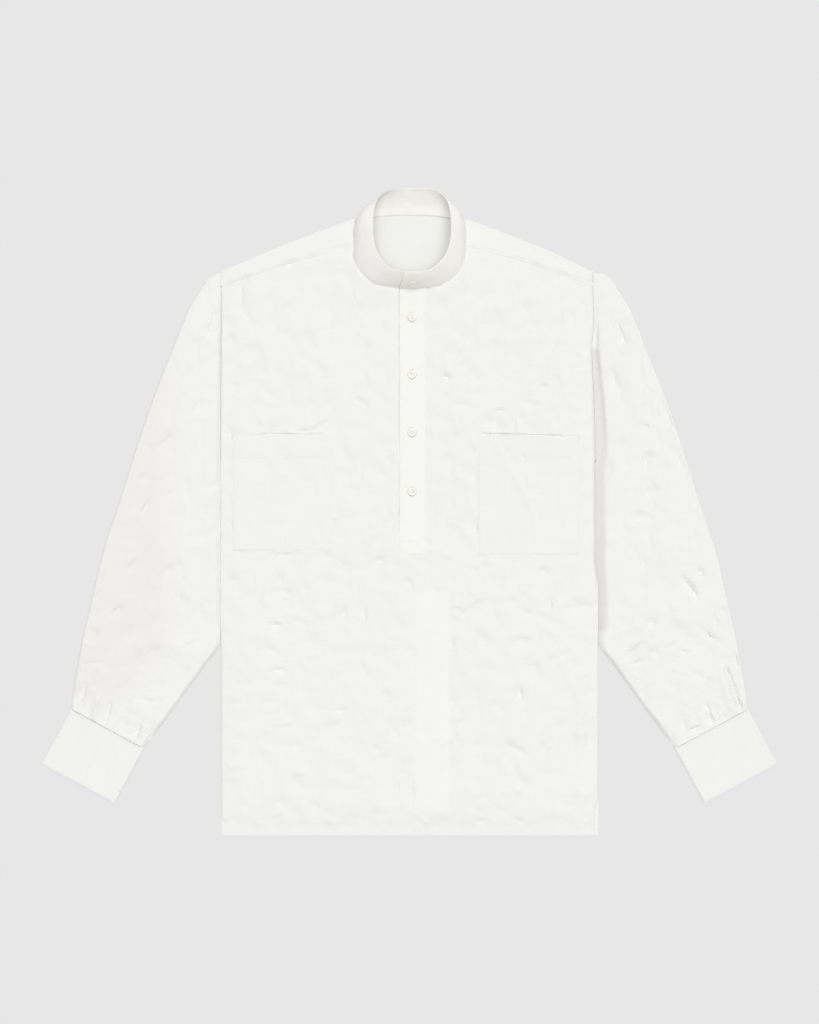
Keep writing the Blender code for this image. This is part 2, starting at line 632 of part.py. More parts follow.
def build_sleeve(collection, side, name):
    """Sleeve, open along the armhole and a closed tube below the underarm."""
    seam_inner = cuff_point(1, 0.0, -SEAM_GAP)
    seam_outer = cuff_point(1, CUFF_WIDTH, -SEAM_GAP)
    sections = list(SLEEVE_SECTIONS)
    sections.append(dict(inner_out=seam_inner[0] - HALF_WIDTH - SEAM_GAP, inner_y=seam_inner[1],
                         outer_x=seam_outer[0], outer_y=seam_outer[1], dip=FOLD_REACH))
    points = []
    columns = 0
    for row in range(SLEEVE_ROWS):
        place = (len(sections) - 1) * row / (SLEEVE_ROWS - 1)
        value = {key: smooth_value(sections, key, place) for key in sections[0]}
        out = max(value["inner_out"], 0.0)
        inner = Vector((abs(side_x(side, value["inner_y"])) + SEAM_GAP + out, value["inner_y"]))
        outer = Vector((value["outer_x"], value["outer_y"]))
        width = (outer - inner).length
        widen = ease((width - SLEEVE_NARROW_WIDTH) / SLEEVE_WIDENING)
        top = SLEEVE_NARROW_TOP + (SLEEVE_TOP - SLEEVE_NARROW_TOP) * widen
        section = flat_tube_section(width, top, max(value["dip"], SLEEVE_LEAST_DIP))
        columns = len(section)
        for across, z, over in section:
            spot = inner + (outer - inner) * (across / width)
            calm = ease((len(sections) - 1 - place) / 0.4) * ease((width - across) / SLEEVE_EDGE_EASE)
            lift = fold_height(SLEEVE_FOLDS, spot.x, spot.y) * over * calm
            points.append((side * spot.x, spot.y, z + lift))
    faces = grid_faces(SLEEVE_ROWS, columns, closed_from=SLEEVE_FIRST_CLOSED, flip=side < 0)
    thicken(add_object(collection, name, points, faces, (0.85, 0.85, 0.82)), WALL, -1.0)


def build_cuff(collection, side, name):
    """Cuff: a flat band folded at both ends."""
    half = 0.5 * CUFF_TOP
    section = [(FOLD_REACH + (CUFF_WIDTH - 2 * FOLD_REACH) * step / 4, 0.0) for step in range(4)]
    for step in range(7):
        angle = math.pi * (step / 6 - 0.5)
        section.append((CUFF_WIDTH - FOLD_REACH * (1.0 - math.cos(angle)), half * (1.0 + math.sin(angle))))
    section += [(CUFF_WIDTH - FOLD_REACH - (CUFF_WIDTH - 2 * FOLD_REACH) * step / 4, CUFF_TOP)
                for step in range(1, 4)]
    for step in range(6):
        angle = math.pi * (0.5 - step / 6)
        section.append((FOLD_REACH * (1.0 - math.cos(angle)), half * (1.0 + math.sin(angle))))
    levels = (0.0, 0.25, 0.5, 0.75, 1.0)
    points = []
    for level in levels:
        for along, z in section:
            x, y = cuff_point(side, along, level * CUFF_DEPTH)
            points.append((x, y, z))
    faces = grid_faces(len(levels), len(section), closed_from=0, flip=side < 0)
    thicken(add_object(collection, name, points, faces, (0.88, 0.88, 0.86)), WALL, -1.0)


def button_mesh(collection, cutters):
    """One turned button with four sewing holes."""
    mesh = bpy.data.meshes.new("button_profile")
    edges = [(step, step + 1) for step in range(len(BUTTON_PROFILE) - 1)]
    mesh.from_pydata([(corner["radius"], 0.0, corner["z"]) for corner in BUTTON_PROFILE], edges, [])
    blank = bpy.data.objects.new("button_blank", mesh)
    cutters.objects.link(blank)
    turn = blank.modifiers.new("turn", "SCREW")
    turn.steps = 20
    turn.render_steps = 20
    turn.use_merge_vertices = True
    turn.merge_threshold = 0.00005
    turn.use_normal_calculate = True
    holes = bpy.data.meshes.new("button_holes")
    work = bmesh.new()
    for side_step in (-1, 1):
        for up_step in (-1, 1):
            offset = Matrix.Translation((side_step * BUTTON_HOLE_STEP, up_step * BUTTON_HOLE_STEP, 0.001))
            bmesh.ops.create_cone(work, cap_ends=True, segments=8, radius1=BUTTON_HOLE_RADIUS,
                                  radius2=BUTTON_HOLE_RADIUS, depth=0.006, matrix=offset)
    work.to_mesh(holes)
    work.free()
    cutter = bpy.data.objects.new("button_cutter", holes)
    cutter.hide_render = True
    cutter.display_type = "WIRE"
    cutters.objects.link(cutter)
    cut = blank.modifiers.new("holes", "BOOLEAN")
    cut.operation = "DIFFERENCE"
    cut.object = cutter
    depsgraph = bpy.context.evaluated_depsgraph_get()
    depsgraph.update()
    made = bpy.data.meshes.new_from_object(blank.evaluated_get(depsgraph))
    made.name = "button"
    made.materials.append(cloth_material("button_finish", (0.82, 0.81, 0.74), 0.35))
    made.shade_smooth()
    made.set_sharp_from_angle(angle=math.radians(35))
    bpy.data.objects.remove(blank)
    bpy.data.objects.remove(cutter)
    return made


def build_buttons(collection, cutters):
    """Four buttons down the placket and one on the band's lapped end."""
    mesh = button_mesh(collection, cutters)
    top = SEAM_GAP + TRIM_WALL + BUTTON_LIFT
    for number, y in enumerate(BUTTON_YS, start=1):
        button = bpy.data.objects.new(f"button_{number}", mesh)
        collection.objects.link(button)
        button.location = (BUTTON_X, y, front_height(BUTTON_X, y) + top)
    half_length = along_outline(NECK_LOOP, 0.0)[2]
    share = BUTTON_X / half_length
    spot = band_point(share, COLLAR_BUTTON_SHARE)
    up = band_point(share, COLLAR_BUTTON_SHARE + 0.1) - band_point(share, COLLAR_BUTTON_SHARE - 0.1)
    normal = Vector((1.0, 0.0, 0.0)).cross(up).normalized()
    button = bpy.data.objects.new("button_collar", mesh)
    collection.objects.link(button)
    button.matrix_world = Matrix.Translation(spot + normal * BUTTON_LIFT) @ normal.to_track_quat(
        "Z", "Y").to_matrix().to_4x4()


def new_collection(name):
    """A collection in the scene."""
    collection = bpy.data.collections.new(name)
    bpy.context.scene.collection.children.link(collection)
    return collection


def main():
    """Build the shirt."""
    for obj in list(bpy.data.objects):
        bpy.data.objects.remove(obj)
    shirt = new_collection("mandarin_collar_shirt")
    cutters = new_collection("cutters")
    grid = front_grid()
    build_back(shirt)
    build_front(shirt, grid)
    build_yoke(shirt)
    build_band(shirt)
    build_placket(shirt, grid)
    build_pocket(shirt, grid, "pocket_left", POCKET_LEFT_OUTER, POCKET_LEFT_INNER, POCKET_LEFT_FLOOR_Y)
    build_pocket(shirt, grid, "pocket_right", POCKET_RIGHT_INNER, POCKET_RIGHT_OUTER, POCKET_RIGHT_FLOOR_Y)
    for side, word in ((-1, "left"), (1, "right")):
        build_sleeve(shirt, side, "sleeve_" + word)
        build_cuff(shirt, side, "cuff_" + word)
    build_buttons(shirt, cutters)


main()
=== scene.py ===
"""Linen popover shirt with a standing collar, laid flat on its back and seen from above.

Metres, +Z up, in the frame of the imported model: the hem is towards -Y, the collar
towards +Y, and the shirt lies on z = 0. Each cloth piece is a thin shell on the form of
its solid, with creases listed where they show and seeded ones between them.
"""
import logging
import math
from dataclasses import dataclass, field
from enum import Enum

import bpy
import numpy as np
from mathutils import Matrix, Vector


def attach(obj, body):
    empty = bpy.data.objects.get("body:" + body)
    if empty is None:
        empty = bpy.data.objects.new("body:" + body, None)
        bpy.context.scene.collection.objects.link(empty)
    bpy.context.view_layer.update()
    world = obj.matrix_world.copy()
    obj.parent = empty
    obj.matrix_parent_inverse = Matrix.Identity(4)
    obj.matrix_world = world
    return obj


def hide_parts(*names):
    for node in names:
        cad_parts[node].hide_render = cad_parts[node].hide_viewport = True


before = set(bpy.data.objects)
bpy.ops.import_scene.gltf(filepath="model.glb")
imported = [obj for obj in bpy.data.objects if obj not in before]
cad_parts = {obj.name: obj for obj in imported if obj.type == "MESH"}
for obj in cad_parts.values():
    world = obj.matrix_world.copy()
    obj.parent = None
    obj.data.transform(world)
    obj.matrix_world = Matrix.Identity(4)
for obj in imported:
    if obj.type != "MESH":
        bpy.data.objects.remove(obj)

LOG = logging.getLogger("shirt")
MM = 0.001
UPWARDS = (0.0, 0.0, 1.0)
NOISE_CELLS = 64
CLOTH_COORDS = "cloth"
SHARP_ANGLE = math.radians(55.0)
LEAST_TOP = 0.0020
POCKET_LEFT = (-0.2353, -0.1007, -0.0513)
POCKET_RIGHT = (0.2273, 0.0913, -0.0567)
POCKET_MOUTH_Y = 0.1025
PLACKET_FLOOR_Y = -0.0567
STITCH_POINTS = 5


class FoldForm(Enum):
    """Cross-section of a fold in the cloth."""

    ROUND = "round"
    CREASE = "crease"
    LAP = "lap"


class Slot(Enum):
    """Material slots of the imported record."""

    LINEN = "linen"
    BAND = "linen_band"
    TRIM = "linen_trim"
    BUTTON = "button"


def ease(share: np.ndarray | float) -> np.ndarray:
    """Smooth step from 0 to 1."""
    held = np.clip(share, 0.0, 1.0)
    return held * held * (3.0 - 2.0 * held)


def inside(values: np.ndarray, low: float, high: float, soft: float) -> np.ndarray:
    """How far values lie inside a range, 0 to 1, eased over a soft margin."""
    return ease((values - low) / soft + 0.5) * ease((high - values) / soft + 0.5)


def soft_noise(x: np.ndarray, y: np.ndarray, grain: float, seed: int) -> np.ndarray:
    """Smooth seeded noise over a plane.

    Args:
        x: first coordinates, in metres.
        y: second coordinates, in metres.
        grain: size of one cell, in metres.
        seed: seed of the cell slopes.

    Returns:
        Values from about -1 to 1.
    """
    table = np.random.default_rng(seed).uniform(0.0, 2.0 * math.pi, (NOISE_CELLS, NOISE_CELLS))
    column = np.floor(x / grain).astype(int)
    row = np.floor(y / grain).astype(int)
    part_x = x / grain - column
    part_y = y / grain - row
    ease_x = ease(part_x)
    ease_y = ease(part_y)
    total = np.zeros_like(part_x)
    for step_x in (0, 1):
        for step_y in (0, 1):
            angle = table[(column + step_x) % NOISE_CELLS, (row + step_y) % NOISE_CELLS]
            slope = np.cos(angle) * (part_x - step_x) + np.sin(angle) * (part_y - step_y)
            weight_x = ease_x if step_x else 1.0 - ease_x
            weight_y = ease_y if step_y else 1.0 - ease_y
            total += slope * weight_x * weight_y
    return total * 1.5


@dataclass(frozen=True)
class Fold:
    """One fold, crease or dent of the cloth, as a line seen from above."""

    start: tuple[float, float]
    end: tuple[float, float]
    reach: float
    lift: float
    form: FoldForm = FoldForm.CREASE
    bow: float = 0.0

    def profile(self, across: np.ndarray) -> np.ndarray:
        """Share of the lift at distances across the fold's line.

        Args:
            across: the distances.

        Returns:
            The shares.
        """
        if self.form is FoldForm.ROUND:
            return np.exp(-(across / self.reach) ** 2)
        if self.form is FoldForm.LAP:
            steep = self.reach * 0.45
            return np.where(across > 0.0, np.exp(-np.abs(across) / self.reach),
                            np.exp(-(across / steep) ** 2))
        tip = self.reach * 0.25
        return np.exp(-(np.sqrt(across ** 2 + tip ** 2) - tip) / self.reach)

    def stronger(self, gain: float, least_reach: float) -> "Fold":
        """The same fold with its lift multiplied and its reach not below a least."""
        return Fold(self.start, self.end, max(self.reach, least_reach), self.lift * gain, self.form, self.bow)

    def add_to(self, height: np.ndarray, x: np.ndarray, y: np.ndarray) -> None:
        """Add the fold's height to the points near its line.

        Args:
            height: heights to add to, in metres.
            x: the points' x.
            y: the points' y.
        """
        run = np.subtract(self.end, self.start)
        length = max(float(np.hypot(*run)), 1e-4)
        margin = 4.0 * self.reach + abs(self.bow)
        near = ((x > min(self.start[0], self.end[0]) - margin)
                & (x < max(self.start[0], self.end[0]) + margin)
                & (y > min(self.start[1], self.end[1]) - margin)
                & (y < max(self.start[1], self.end[1]) + margin))
        if not near.any():
            return
        from_x = x[near] - self.start[0]
        from_y = y[near] - self.start[1]
        share = (from_x * run[0] + from_y * run[1]) / length ** 2
        held = np.clip(share, 0.0, 1.0)
        across = (from_x * run[1] - from_y * run[0]) / length + 4.0 * self.bow * held * (1.0 - held)
        beyond = np.abs(share - held) * length
        fade = np.exp(-(beyond / self.reach) ** 2) * (0.45 + 0.55 * np.sin(math.pi * held))
        height[near] += self.lift * self.profile(across) * fade


def folded(folds: list[Fold], x: np.ndarray, y: np.ndarray) -> np.ndarray:
    """Height that a list of folds gives to points seen from above.

    Args:
        folds: the folds.
        x: the points' x.
        y: the points' y.

    Returns:
        The heights, in metres.
    """
    height = np.zeros_like(x)
    for fold in folds:
        fold.add_to(height, x, y)
    return height


@dataclass(frozen=True)
class Creasing:
    """Short irregular creases of washed linen, scattered by a seed."""

    seed: int
    per_square_metre: float = 1500.0
    short: float = 0.007
    long: float = 0.040
    narrow: float = 0.0018
    wide: float = 0.0055
    lift: float = 0.0008

    def scatter(self, low: tuple[float, float], high: tuple[float, float]) -> list[Fold]:
        """Creases over a box.

        Args:
            low: the box's lowest x and y.
            high: the box's highest x and y.

        Returns:
            The creases, ridges and troughs mixed.
        """
        rng = np.random.default_rng(self.seed)
        span = np.subtract(high, low)
        made = []
        for _ in range(int(self.per_square_metre * span[0] * span[1])):
            middle = low + span * rng.random(2)
            turn = rng.uniform(0.0, math.pi)
            size = self.short + (self.long - self.short) * rng.random() ** 2
            half = 0.5 * size * np.array((math.cos(turn), math.sin(turn)))
            made.append(Fold(
                start=tuple(middle - half),
                end=tuple(middle + half),
                reach=rng.uniform(self.narrow, self.wide),
                lift=self.lift * rng.uniform(0.25, 1.0) * rng.choice((-1.0, 1.0)),
                form=FoldForm.LAP if rng.random() < 0.3 else FoldForm.CREASE,
                bow=size * rng.uniform(-0.15, 0.15),
            ))
        return made


@dataclass(frozen=True)
class Pattern:
    """The shirt's plan as it lies, with the same measures as its solids."""

    half_width: float = 0.2515
    hem_y: float = -0.4312
    tip_y: float = 0.3210
    neck_x: float = 0.0750
    neck_y: float = 0.3910
    crown: float = 0.0020
    armhole_floor_y: float = 0.0800
    dip_left: float = 0.0008
    dip_right: float = 0.0075
    draw_right: float = 0.0045
    draw_from_y: float = -0.0850
    draw_to_y: float = 0.2350
    draw_soft: float = 0.05
    valley_floor: float = 0.0028
    valley_head: float = 0.0018
    head_from_y: float = 0.2250
    head_soft: float = 0.035
    back_seam_y: float = 0.2500
    yoke_drop_neck: float = 0.0360
    yoke_drop_arm: float = 0.0200
    neck_half: float = 0.0755
    neck_middle_y: float = 0.3480
    neck_front: float = 0.0525
    neck_back: float = 0.0500
    neck_lap: float = 0.0030
    neck_round: float = 2.6
    neck_round_back: float = 4.0
    fold_reach: float = 0.0032
    slit_left: float = -0.0110
    slit_right: float = 0.0200
    slit_floor_y: float = -0.0513
    cuff_corner: tuple[float, float] = (0.3524, -0.3138)
    cuff_tilt: float = math.radians(28.3)
    cuff_width: float = 0.1115
    cuff_depth: float = 0.0840

    def shoulder_y(self, x: np.ndarray) -> np.ndarray:
        """The shoulder line's y.

        Args:
            x: where to read.

        Returns:
            The y.
        """
        share = (np.abs(x) - self.neck_x) / (self.half_width - self.neck_x)
        straight = self.neck_y + share * (self.tip_y - self.neck_y)
        return straight + self.crown * np.sin(math.pi * np.clip(share, 0.0, 1.0))

    def yoke_seam_y(self, x: np.ndarray) -> np.ndarray:
        """The front yoke seam's y.

        Args:
            x: where to read.

        Returns:
            The y.
        """
        share = (np.abs(x) - self.neck_x) / (self.half_width - self.neck_x)
        drop = self.yoke_drop_neck + share * (self.yoke_drop_arm - self.yoke_drop_neck)
        return self.shoulder_y(x) - drop

    def side_x(self, side: int, y: np.ndarray) -> np.ndarray:
        """Distance of the side seam from the middle, drawn in along the armhole.

        Args:
            side: 1 for the right, -1 for the left.
            y: where to read.

        Returns:
            The distances.
        """
        dip = self.dip_right if side > 0 else self.dip_left
        share = (y - self.armhole_floor_y) / (self.tip_y - self.armhole_floor_y)
        return self.half_width - dip * ease(share)

    def valley_draw(self, side: int, y: np.ndarray) -> np.ndarray:
        """How far the upper cloth is drawn in from the armhole seam, on the right only."""
        reach = self.draw_right if side > 0 else 0.0
        return reach * inside(y, self.draw_from_y, self.draw_to_y, self.draw_soft)

    def valley_z(self, side: int, y: np.ndarray) -> np.ndarray:
        """Height of the cloth along the armhole seam, flush at the right shoulder."""
        head = ease((y - self.head_from_y) / self.head_soft) if side > 0 else 0.0
        return self.valley_floor + self.valley_head * head

    def neck_front_y(self, x: np.ndarray) -> np.ndarray:
        """The front's neckline.

        Args:
            x: where to read.

        Returns:
            The y.
        """
        half = self.neck_half - self.neck_lap
        within = np.clip(1.0 - (np.abs(x) / half) ** self.neck_round, 0.0, 1.0)
        return self.neck_middle_y - (self.neck_front - self.neck_lap) * within ** (1.0 / self.neck_round)

    def neck_back_y(self, x: np.ndarray) -> np.ndarray:
        """The back neckline of the yoke's lower layer.

        Args:
            x: where to read.

        Returns:
            The y.
        """
        within = np.clip(1.0 - (np.abs(x) / self.neck_half) ** self.neck_round_back, 0.0, 1.0)
        curve = self.neck_middle_y + self.neck_back * within ** (1.0 / self.neck_round_back)
        floor = self.shoulder_y(np.array(self.neck_x)) - self.fold_reach
        return np.maximum(curve + 0.0015, floor)

    def cuff_point(self, side: int, along: np.ndarray, down: np.ndarray) -> tuple[np.ndarray, np.ndarray]:
        """A point of the cuff's plan, along its seam from the inner corner and down its depth.

        Args:
            side: 1 for the right, -1 for the left.
            along: distance along the seam.
            down: distance from the seam.

        Returns:
            The point's x and y.
        """
        x = self.cuff_corner[0] + along * math.cos(self.cuff_tilt) + down * math.sin(self.cuff_tilt)
        y = self.cuff_corner[1] + along * math.sin(self.cuff_tilt) - down * math.cos(self.cuff_tilt)
        return side * x, y


PATTERN = Pattern()


@dataclass
class Cloth:
    """A grid of cloth points that becomes one thin shell."""

    points: np.ndarray
    coords: np.ndarray
    keep: np.ndarray | None = None
    closed_from: int | None = None
    flip: bool = False

    def cells(self) -> tuple[np.ndarray, np.ndarray]:
        """Corner numbers of each cell, and the cloth coordinates at those corners.

        Returns:
            Both, a row for each cell that is kept.
        """
        rows, columns = self.points.shape[:2]
        number = np.arange(rows * columns).reshape(rows, columns)
        wrapped = np.concatenate([number, number[:, :1]], axis=1)
        coords = self.coords
        if coords.shape[1] == columns:
            coords = np.concatenate([coords, coords[:, -1:]], axis=1)
        kept = np.zeros((rows - 1, columns), bool)
        kept[:, :-1] = True if self.keep is None else self.keep
        if self.closed_from is not None:
            kept[self.closed_from:, -1] = True
        corners = np.stack([wrapped[:-1, :-1], wrapped[:-1, 1:], wrapped[1:, 1:], wrapped[1:, :-1]], -1)
        places = np.stack([coords[:-1, :-1], coords[:-1, 1:], coords[1:, 1:], coords[1:, :-1]], -2)
        corners = corners[kept]
        places = places[kept]
        if self.flip:
            corners = corners[:, ::-1]
            places = places[:, ::-1]
        return corners, places

    def build(self, name: str, material: bpy.types.Material, wall: float) -> bpy.types.Object:
        """Make the shell, its wall inside the points.

        Args:
            name: the piece's name.
            material: its finish.
            wall: thickness of the cloth, in metres.

        Returns:
            The mesh object.
        """
        corners, places = self.cells()
        used, renumbered = np.unique(corners, return_inverse=True)
        renumbered = renumbered.reshape(corners.shape)
        flat = self.points.reshape(-1, 3)[used]
        mesh = bpy.data.meshes.new(name)
        mesh.from_pydata(flat.tolist(), [], renumbered.tolist())
        layer = mesh.uv_layers.new(name=CLOTH_COORDS)
        layer.data.foreach_set("uv", places.astype(np.float32).ravel())
        mesh.update()
        mesh.shade_smooth()
        mesh.set_sharp_from_angle(angle=SHARP_ANGLE)
        mesh.materials.append(material)
        obj = link(name, mesh)
        solidify = obj.modifiers.new("cloth wall", "SOLIDIFY")
        solidify.thickness = wall
        solidify.offset = -1.0
        solidify.use_rim = True
        shading = obj.modifiers.new("flat faces shade their edges", "WEIGHTED_NORMAL")
        shading.mode = "FACE_AREA"
        shading.weight = 90
        shading.keep_sharp = True
        LOG.info("%s: %d cells of cloth", name, len(corners))
        return obj


def link(name: str, data: bpy.types.ID) -> bpy.types.Object:
    """Add an object to the scene.

    Args:
        name: the object's name.
        data: its mesh, light or camera.

    Returns:
        The object.
    """
    obj = bpy.data.objects.new(name, data)
    bpy.context.scene.collection.objects.link(obj)
    return obj


def put(obj: bpy.types.Object, slot: Slot, *nodes: str) -> bpy.types.Object:
    """Let a piece ride on the shirt and hide the solids that it stands for.

    Args:
        obj: the piece.
        slot: its material slot; not used.
        nodes: the solids that it replaces.

    Returns:
        The piece.
    """
    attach(obj, "root")
    if nodes:
        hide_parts(*nodes)
    return obj


def drop_group(name: str, inputs: dict[str, tuple[str, float]], outputs: dict[str, str]) -> tuple:
    """Start a shader node group.

    Args:
        name: the group's name.
        inputs: socket name to its type and value.
        outputs: socket name to its type.

    Returns:
        The group, its input node and its output node.
    """
    group = bpy.data.node_groups.new(name, "ShaderNodeTree")
    for label, (kind, value) in inputs.items():
        socket = group.interface.new_socket(label, in_out="INPUT", socket_type=kind)
        if kind == "NodeSocketFloat":
            socket.default_value = value
    for label, kind in outputs.items():
        group.interface.new_socket(label, in_out="OUTPUT", socket_type=kind)
    return group, group.nodes.new("NodeGroupInput"), group.nodes.new("NodeGroupOutput")


def wire_math(tree: bpy.types.NodeTree, operation: str, *values: object, clamp: bool = False) -> object:
    """Add a math node and return its result socket.

    Args:
        tree: the node tree.
        operation: the math node's operation.
        values: its inputs in order, each a socket or a number.
        clamp: whether the result is held from 0 to 1.

    Returns:
        The output socket.
    """
    node = tree.nodes.new("ShaderNodeMath")
    node.operation = operation
    node.use_clamp = clamp
    for place, value in enumerate(values):
        if isinstance(value, (int, float)):
            node.inputs[place].default_value = value
        else:
            tree.links.new(value, node.inputs[place])
    return node.outputs[0]


def start_material(name: str, **values: object) -> tuple:
    """Start a material with its main shader.

    Args:
        name: the material's name.
        values: the shader's inputs, with underscores for the blanks in their names.

    Returns:
        The material, its node tree and its shader node.
    """
    material = bpy.data.materials.new(name)
    material.use_nodes = True
    shader = material.node_tree.nodes["Principled BSDF"]
    for label, value in values.items():
        shader.inputs[label.replace("_", " ")].default_value = value
    return material, material.node_tree, shader


def wire_ramp(tree: bpy.types.NodeTree, value: object, color_input: object, *stops: tuple) -> None:
    """Colour a shader's input by a two-stop ramp.

    Args:
        tree: the node tree.
        value: socket that is read along the ramp.
        color_input: the input that takes the colour.
        stops: position and colour of the first and the last stop.
    """
    ramp = tree.nodes.new("ShaderNodeValToRGB")
    for element, (position, color) in zip(ramp.color_ramp.elements, stops):
        element.position = position
        element.color = (*color, 1.0)
    tree.links.new(value, ramp.inputs["Fac"])
    tree.links.new(ramp.outputs["Color"], color_input)


def wire_noise(tree: bpy.types.NodeTree, vector: object, scale: float, detail: float,
               stretch: tuple[float, float] = (1.0, 1.0), ridged: bool = False) -> object:
    """Add a noise texture on stretched cloth coordinates.

    Args:
        tree: the node tree.
        vector: socket of the cloth coordinates, in metres.
        scale: noise cells in a metre.
        detail: octaves.
        stretch: factors on the two cloth directions.
        ridged: whether the noise has sharp ridges.

    Returns:
        The noise's value socket.
    """
    mapping = tree.nodes.new("ShaderNodeMapping")
    mapping.inputs["Scale"].default_value = (stretch[0], stretch[1], 1.0)
    tree.links.new(vector, mapping.inputs["Vector"])
    noise = tree.nodes.new("ShaderNodeTexNoise")
    noise.noise_type = "RIDGED_MULTIFRACTAL" if ridged else "FBM"
    noise.normalize = not ridged
    noise.inputs["Scale"].default_value = scale
    noise.inputs["Detail"].default_value = detail
    tree.links.new(mapping.outputs["Vector"], noise.inputs["Vector"])
    return noise.outputs["Fac"]


def weave_group() -> bpy.types.NodeTree:
    """Plain linen weave with thick and thin yarns.

    Returns:
        A group that turns cloth coordinates into a height in metres and a mask of the yarns' tone.
    """
    group, given, result = drop_group(
        "linen weave",
        {"Cloth": ("NodeSocketVector", 0.0), "Yarns Per Metre": ("NodeSocketFloat", 1500.0),
         "Relief": ("NodeSocketFloat", 0.00006), "Slub": ("NodeSocketFloat", 0.5)},
        {"Height": "NodeSocketFloat", "Tone": "NodeSocketFloat"})
    cloth = given.outputs["Cloth"]
    split = group.nodes.new("ShaderNodeSeparateXYZ")
    group.links.new(cloth, split.inputs["Vector"])
    waver = wire_noise(group, cloth, 90.0, 1.0)
    pitch = wire_math(group, "MULTIPLY", given.outputs["Yarns Per Metre"], math.pi)
    turns = []
    for axis in ("X", "Y"):
        bent = wire_math(group, "MULTIPLY_ADD", waver, 0.0012, split.outputs[axis])
        turns.append(wire_math(group, "SINE", wire_math(group, "MULTIPLY", bent, pitch)))
    weave = wire_math(group, "MULTIPLY", turns[0], turns[1])
    warp = wire_noise(group, cloth, 1.0, 2.0, stretch=(700.0, 14.0))
    weft = wire_noise(group, cloth, 1.0, 2.0, stretch=(14.0, 700.0))
    yarns = wire_math(group, "ADD", warp, weft)
    slub = wire_math(group, "MULTIPLY", wire_math(group, "SUBTRACT", yarns, 1.0), given.outputs["Slub"])
    height = wire_math(group, "MULTIPLY_ADD", slub, 4.0, wire_math(group, "MULTIPLY", weave, 0.5))
    group.links.new(wire_math(group, "MULTIPLY", height, given.outputs["Relief"]), result.inputs["Height"])
    tone = wire_math(group, "MULTIPLY_ADD", slub, 1.6, wire_math(group, "MULTIPLY_ADD", weave, 0.12, 0.5),
                     clamp=True)
    group.links.new(tone, result.inputs["Tone"])
    return group


def crumple_group() -> bpy.types.NodeTree:
    """Fine crumple of garment-washed cloth.

    Returns:
        A group that turns cloth coordinates into a height in metres and a mask of soft cloudy wear.
    """
    group, given, result = drop_group(
        "washed crumple",
        {"Cloth": ("NodeSocketVector", 0.0), "Relief": ("NodeSocketFloat", 0.0006)},
        {"Height": "NodeSocketFloat", "Cloud": "NodeSocketFloat"})
    cloth = given.outputs["Cloth"]
    ridges = wire_noise(group, cloth, 55.0, 2.0, ridged=True)
    facets = wire_noise(group, cloth, 120.0, 2.0)
    clouds = wire_noise(group, cloth, 16.0, 3.0)
    creases = wire_math(group, "MULTIPLY", ridges, wire_math(group, "MULTIPLY", clouds, 0.5))
    height = wire_math(group, "MULTIPLY_ADD", facets, 0.35, creases)
    group.links.new(wire_math(group, "MULTIPLY", height, given.outputs["Relief"]), result.inputs["Height"])
    group.links.new(clouds, result.inputs["Cloud"])
    return group


def patch_group() -> bpy.types.NodeTree:
    """A part of the cloth that reads in another tone: the cloth's own tone, painted shade and painted light
    all use it.

    Returns:
        A group that turns cloth coordinates into a soft-edged mask.
    """
    labels = ("Middle X", "Half Width", "Middle Y", "Half Length", "Softness", "Strength")
    group, given, result = drop_group(
        "toned patch",
        {"Cloth": ("NodeSocketVector", 0.0)} | {label: ("NodeSocketFloat", 0.1) for label in labels},
        {"Mask": "NodeSocketFloat"})
    split = group.nodes.new("ShaderNodeSeparateXYZ")
    group.links.new(given.outputs["Cloth"], split.inputs["Vector"])
    mask = given.outputs["Strength"]
    for axis, middle, half in (("X", "Middle X", "Half Width"), ("Y", "Middle Y", "Half Length")):
        away = wire_math(group, "SUBTRACT", split.outputs[axis], given.outputs[middle])
        within = wire_math(group, "SUBTRACT", given.outputs[half], wire_math(group, "ABSOLUTE", away))
        edge = wire_math(group, "DIVIDE", within, given.outputs["Softness"])
        mask = wire_math(group, "MULTIPLY", mask, wire_math(group, "ADD", edge, 0.5, clamp=True))
    group.links.new(mask, result.inputs["Mask"])
    return group


@dataclass(frozen=True)
class Patch:
    """A box in cloth coordinates that reads in another tone, used for the cloth's own tone and for painted
    shade and painted light.
    """

    tone: tuple[float, float, float]
    middle: tuple[float, float]
    half: tuple[float, float]
    softness: float
    strength: float = 0.5

    def add_to(self, tree: bpy.types.NodeTree, cloth: object, color: object) -> object:
        """Lay the patch over a colour.

        Args:
            tree: the material's node tree.
            cloth: socket of the cloth coordinates.
            color: socket of the colour without the patch.

        Returns:
            Socket of the colour with the patch.
        """
        mask = tree.nodes.new("ShaderNodeGroup")
        mask.node_tree = bpy.data.node_groups.get("toned patch") or patch_group()
        values = {"Middle X": self.middle[0], "Middle Y": self.middle[1], "Half Width": self.half[0],
                  "Half Length": self.half[1], "Softness": self.softness, "Strength": self.strength}
        for label, value in values.items():
            mask.inputs[label].default_value = value
        tree.links.new(cloth, mask.inputs["Cloth"])
        mix = tree.nodes.new("ShaderNodeMix")
        mix.data_type = "RGBA"
        mix.inputs["B"].default_value = (*self.tone, 1.0)
        tree.links.new(color, mix.inputs["A"])
        tree.links.new(mask.outputs["Mask"], mix.inputs["Factor"])
        return mix.outputs["Result"]


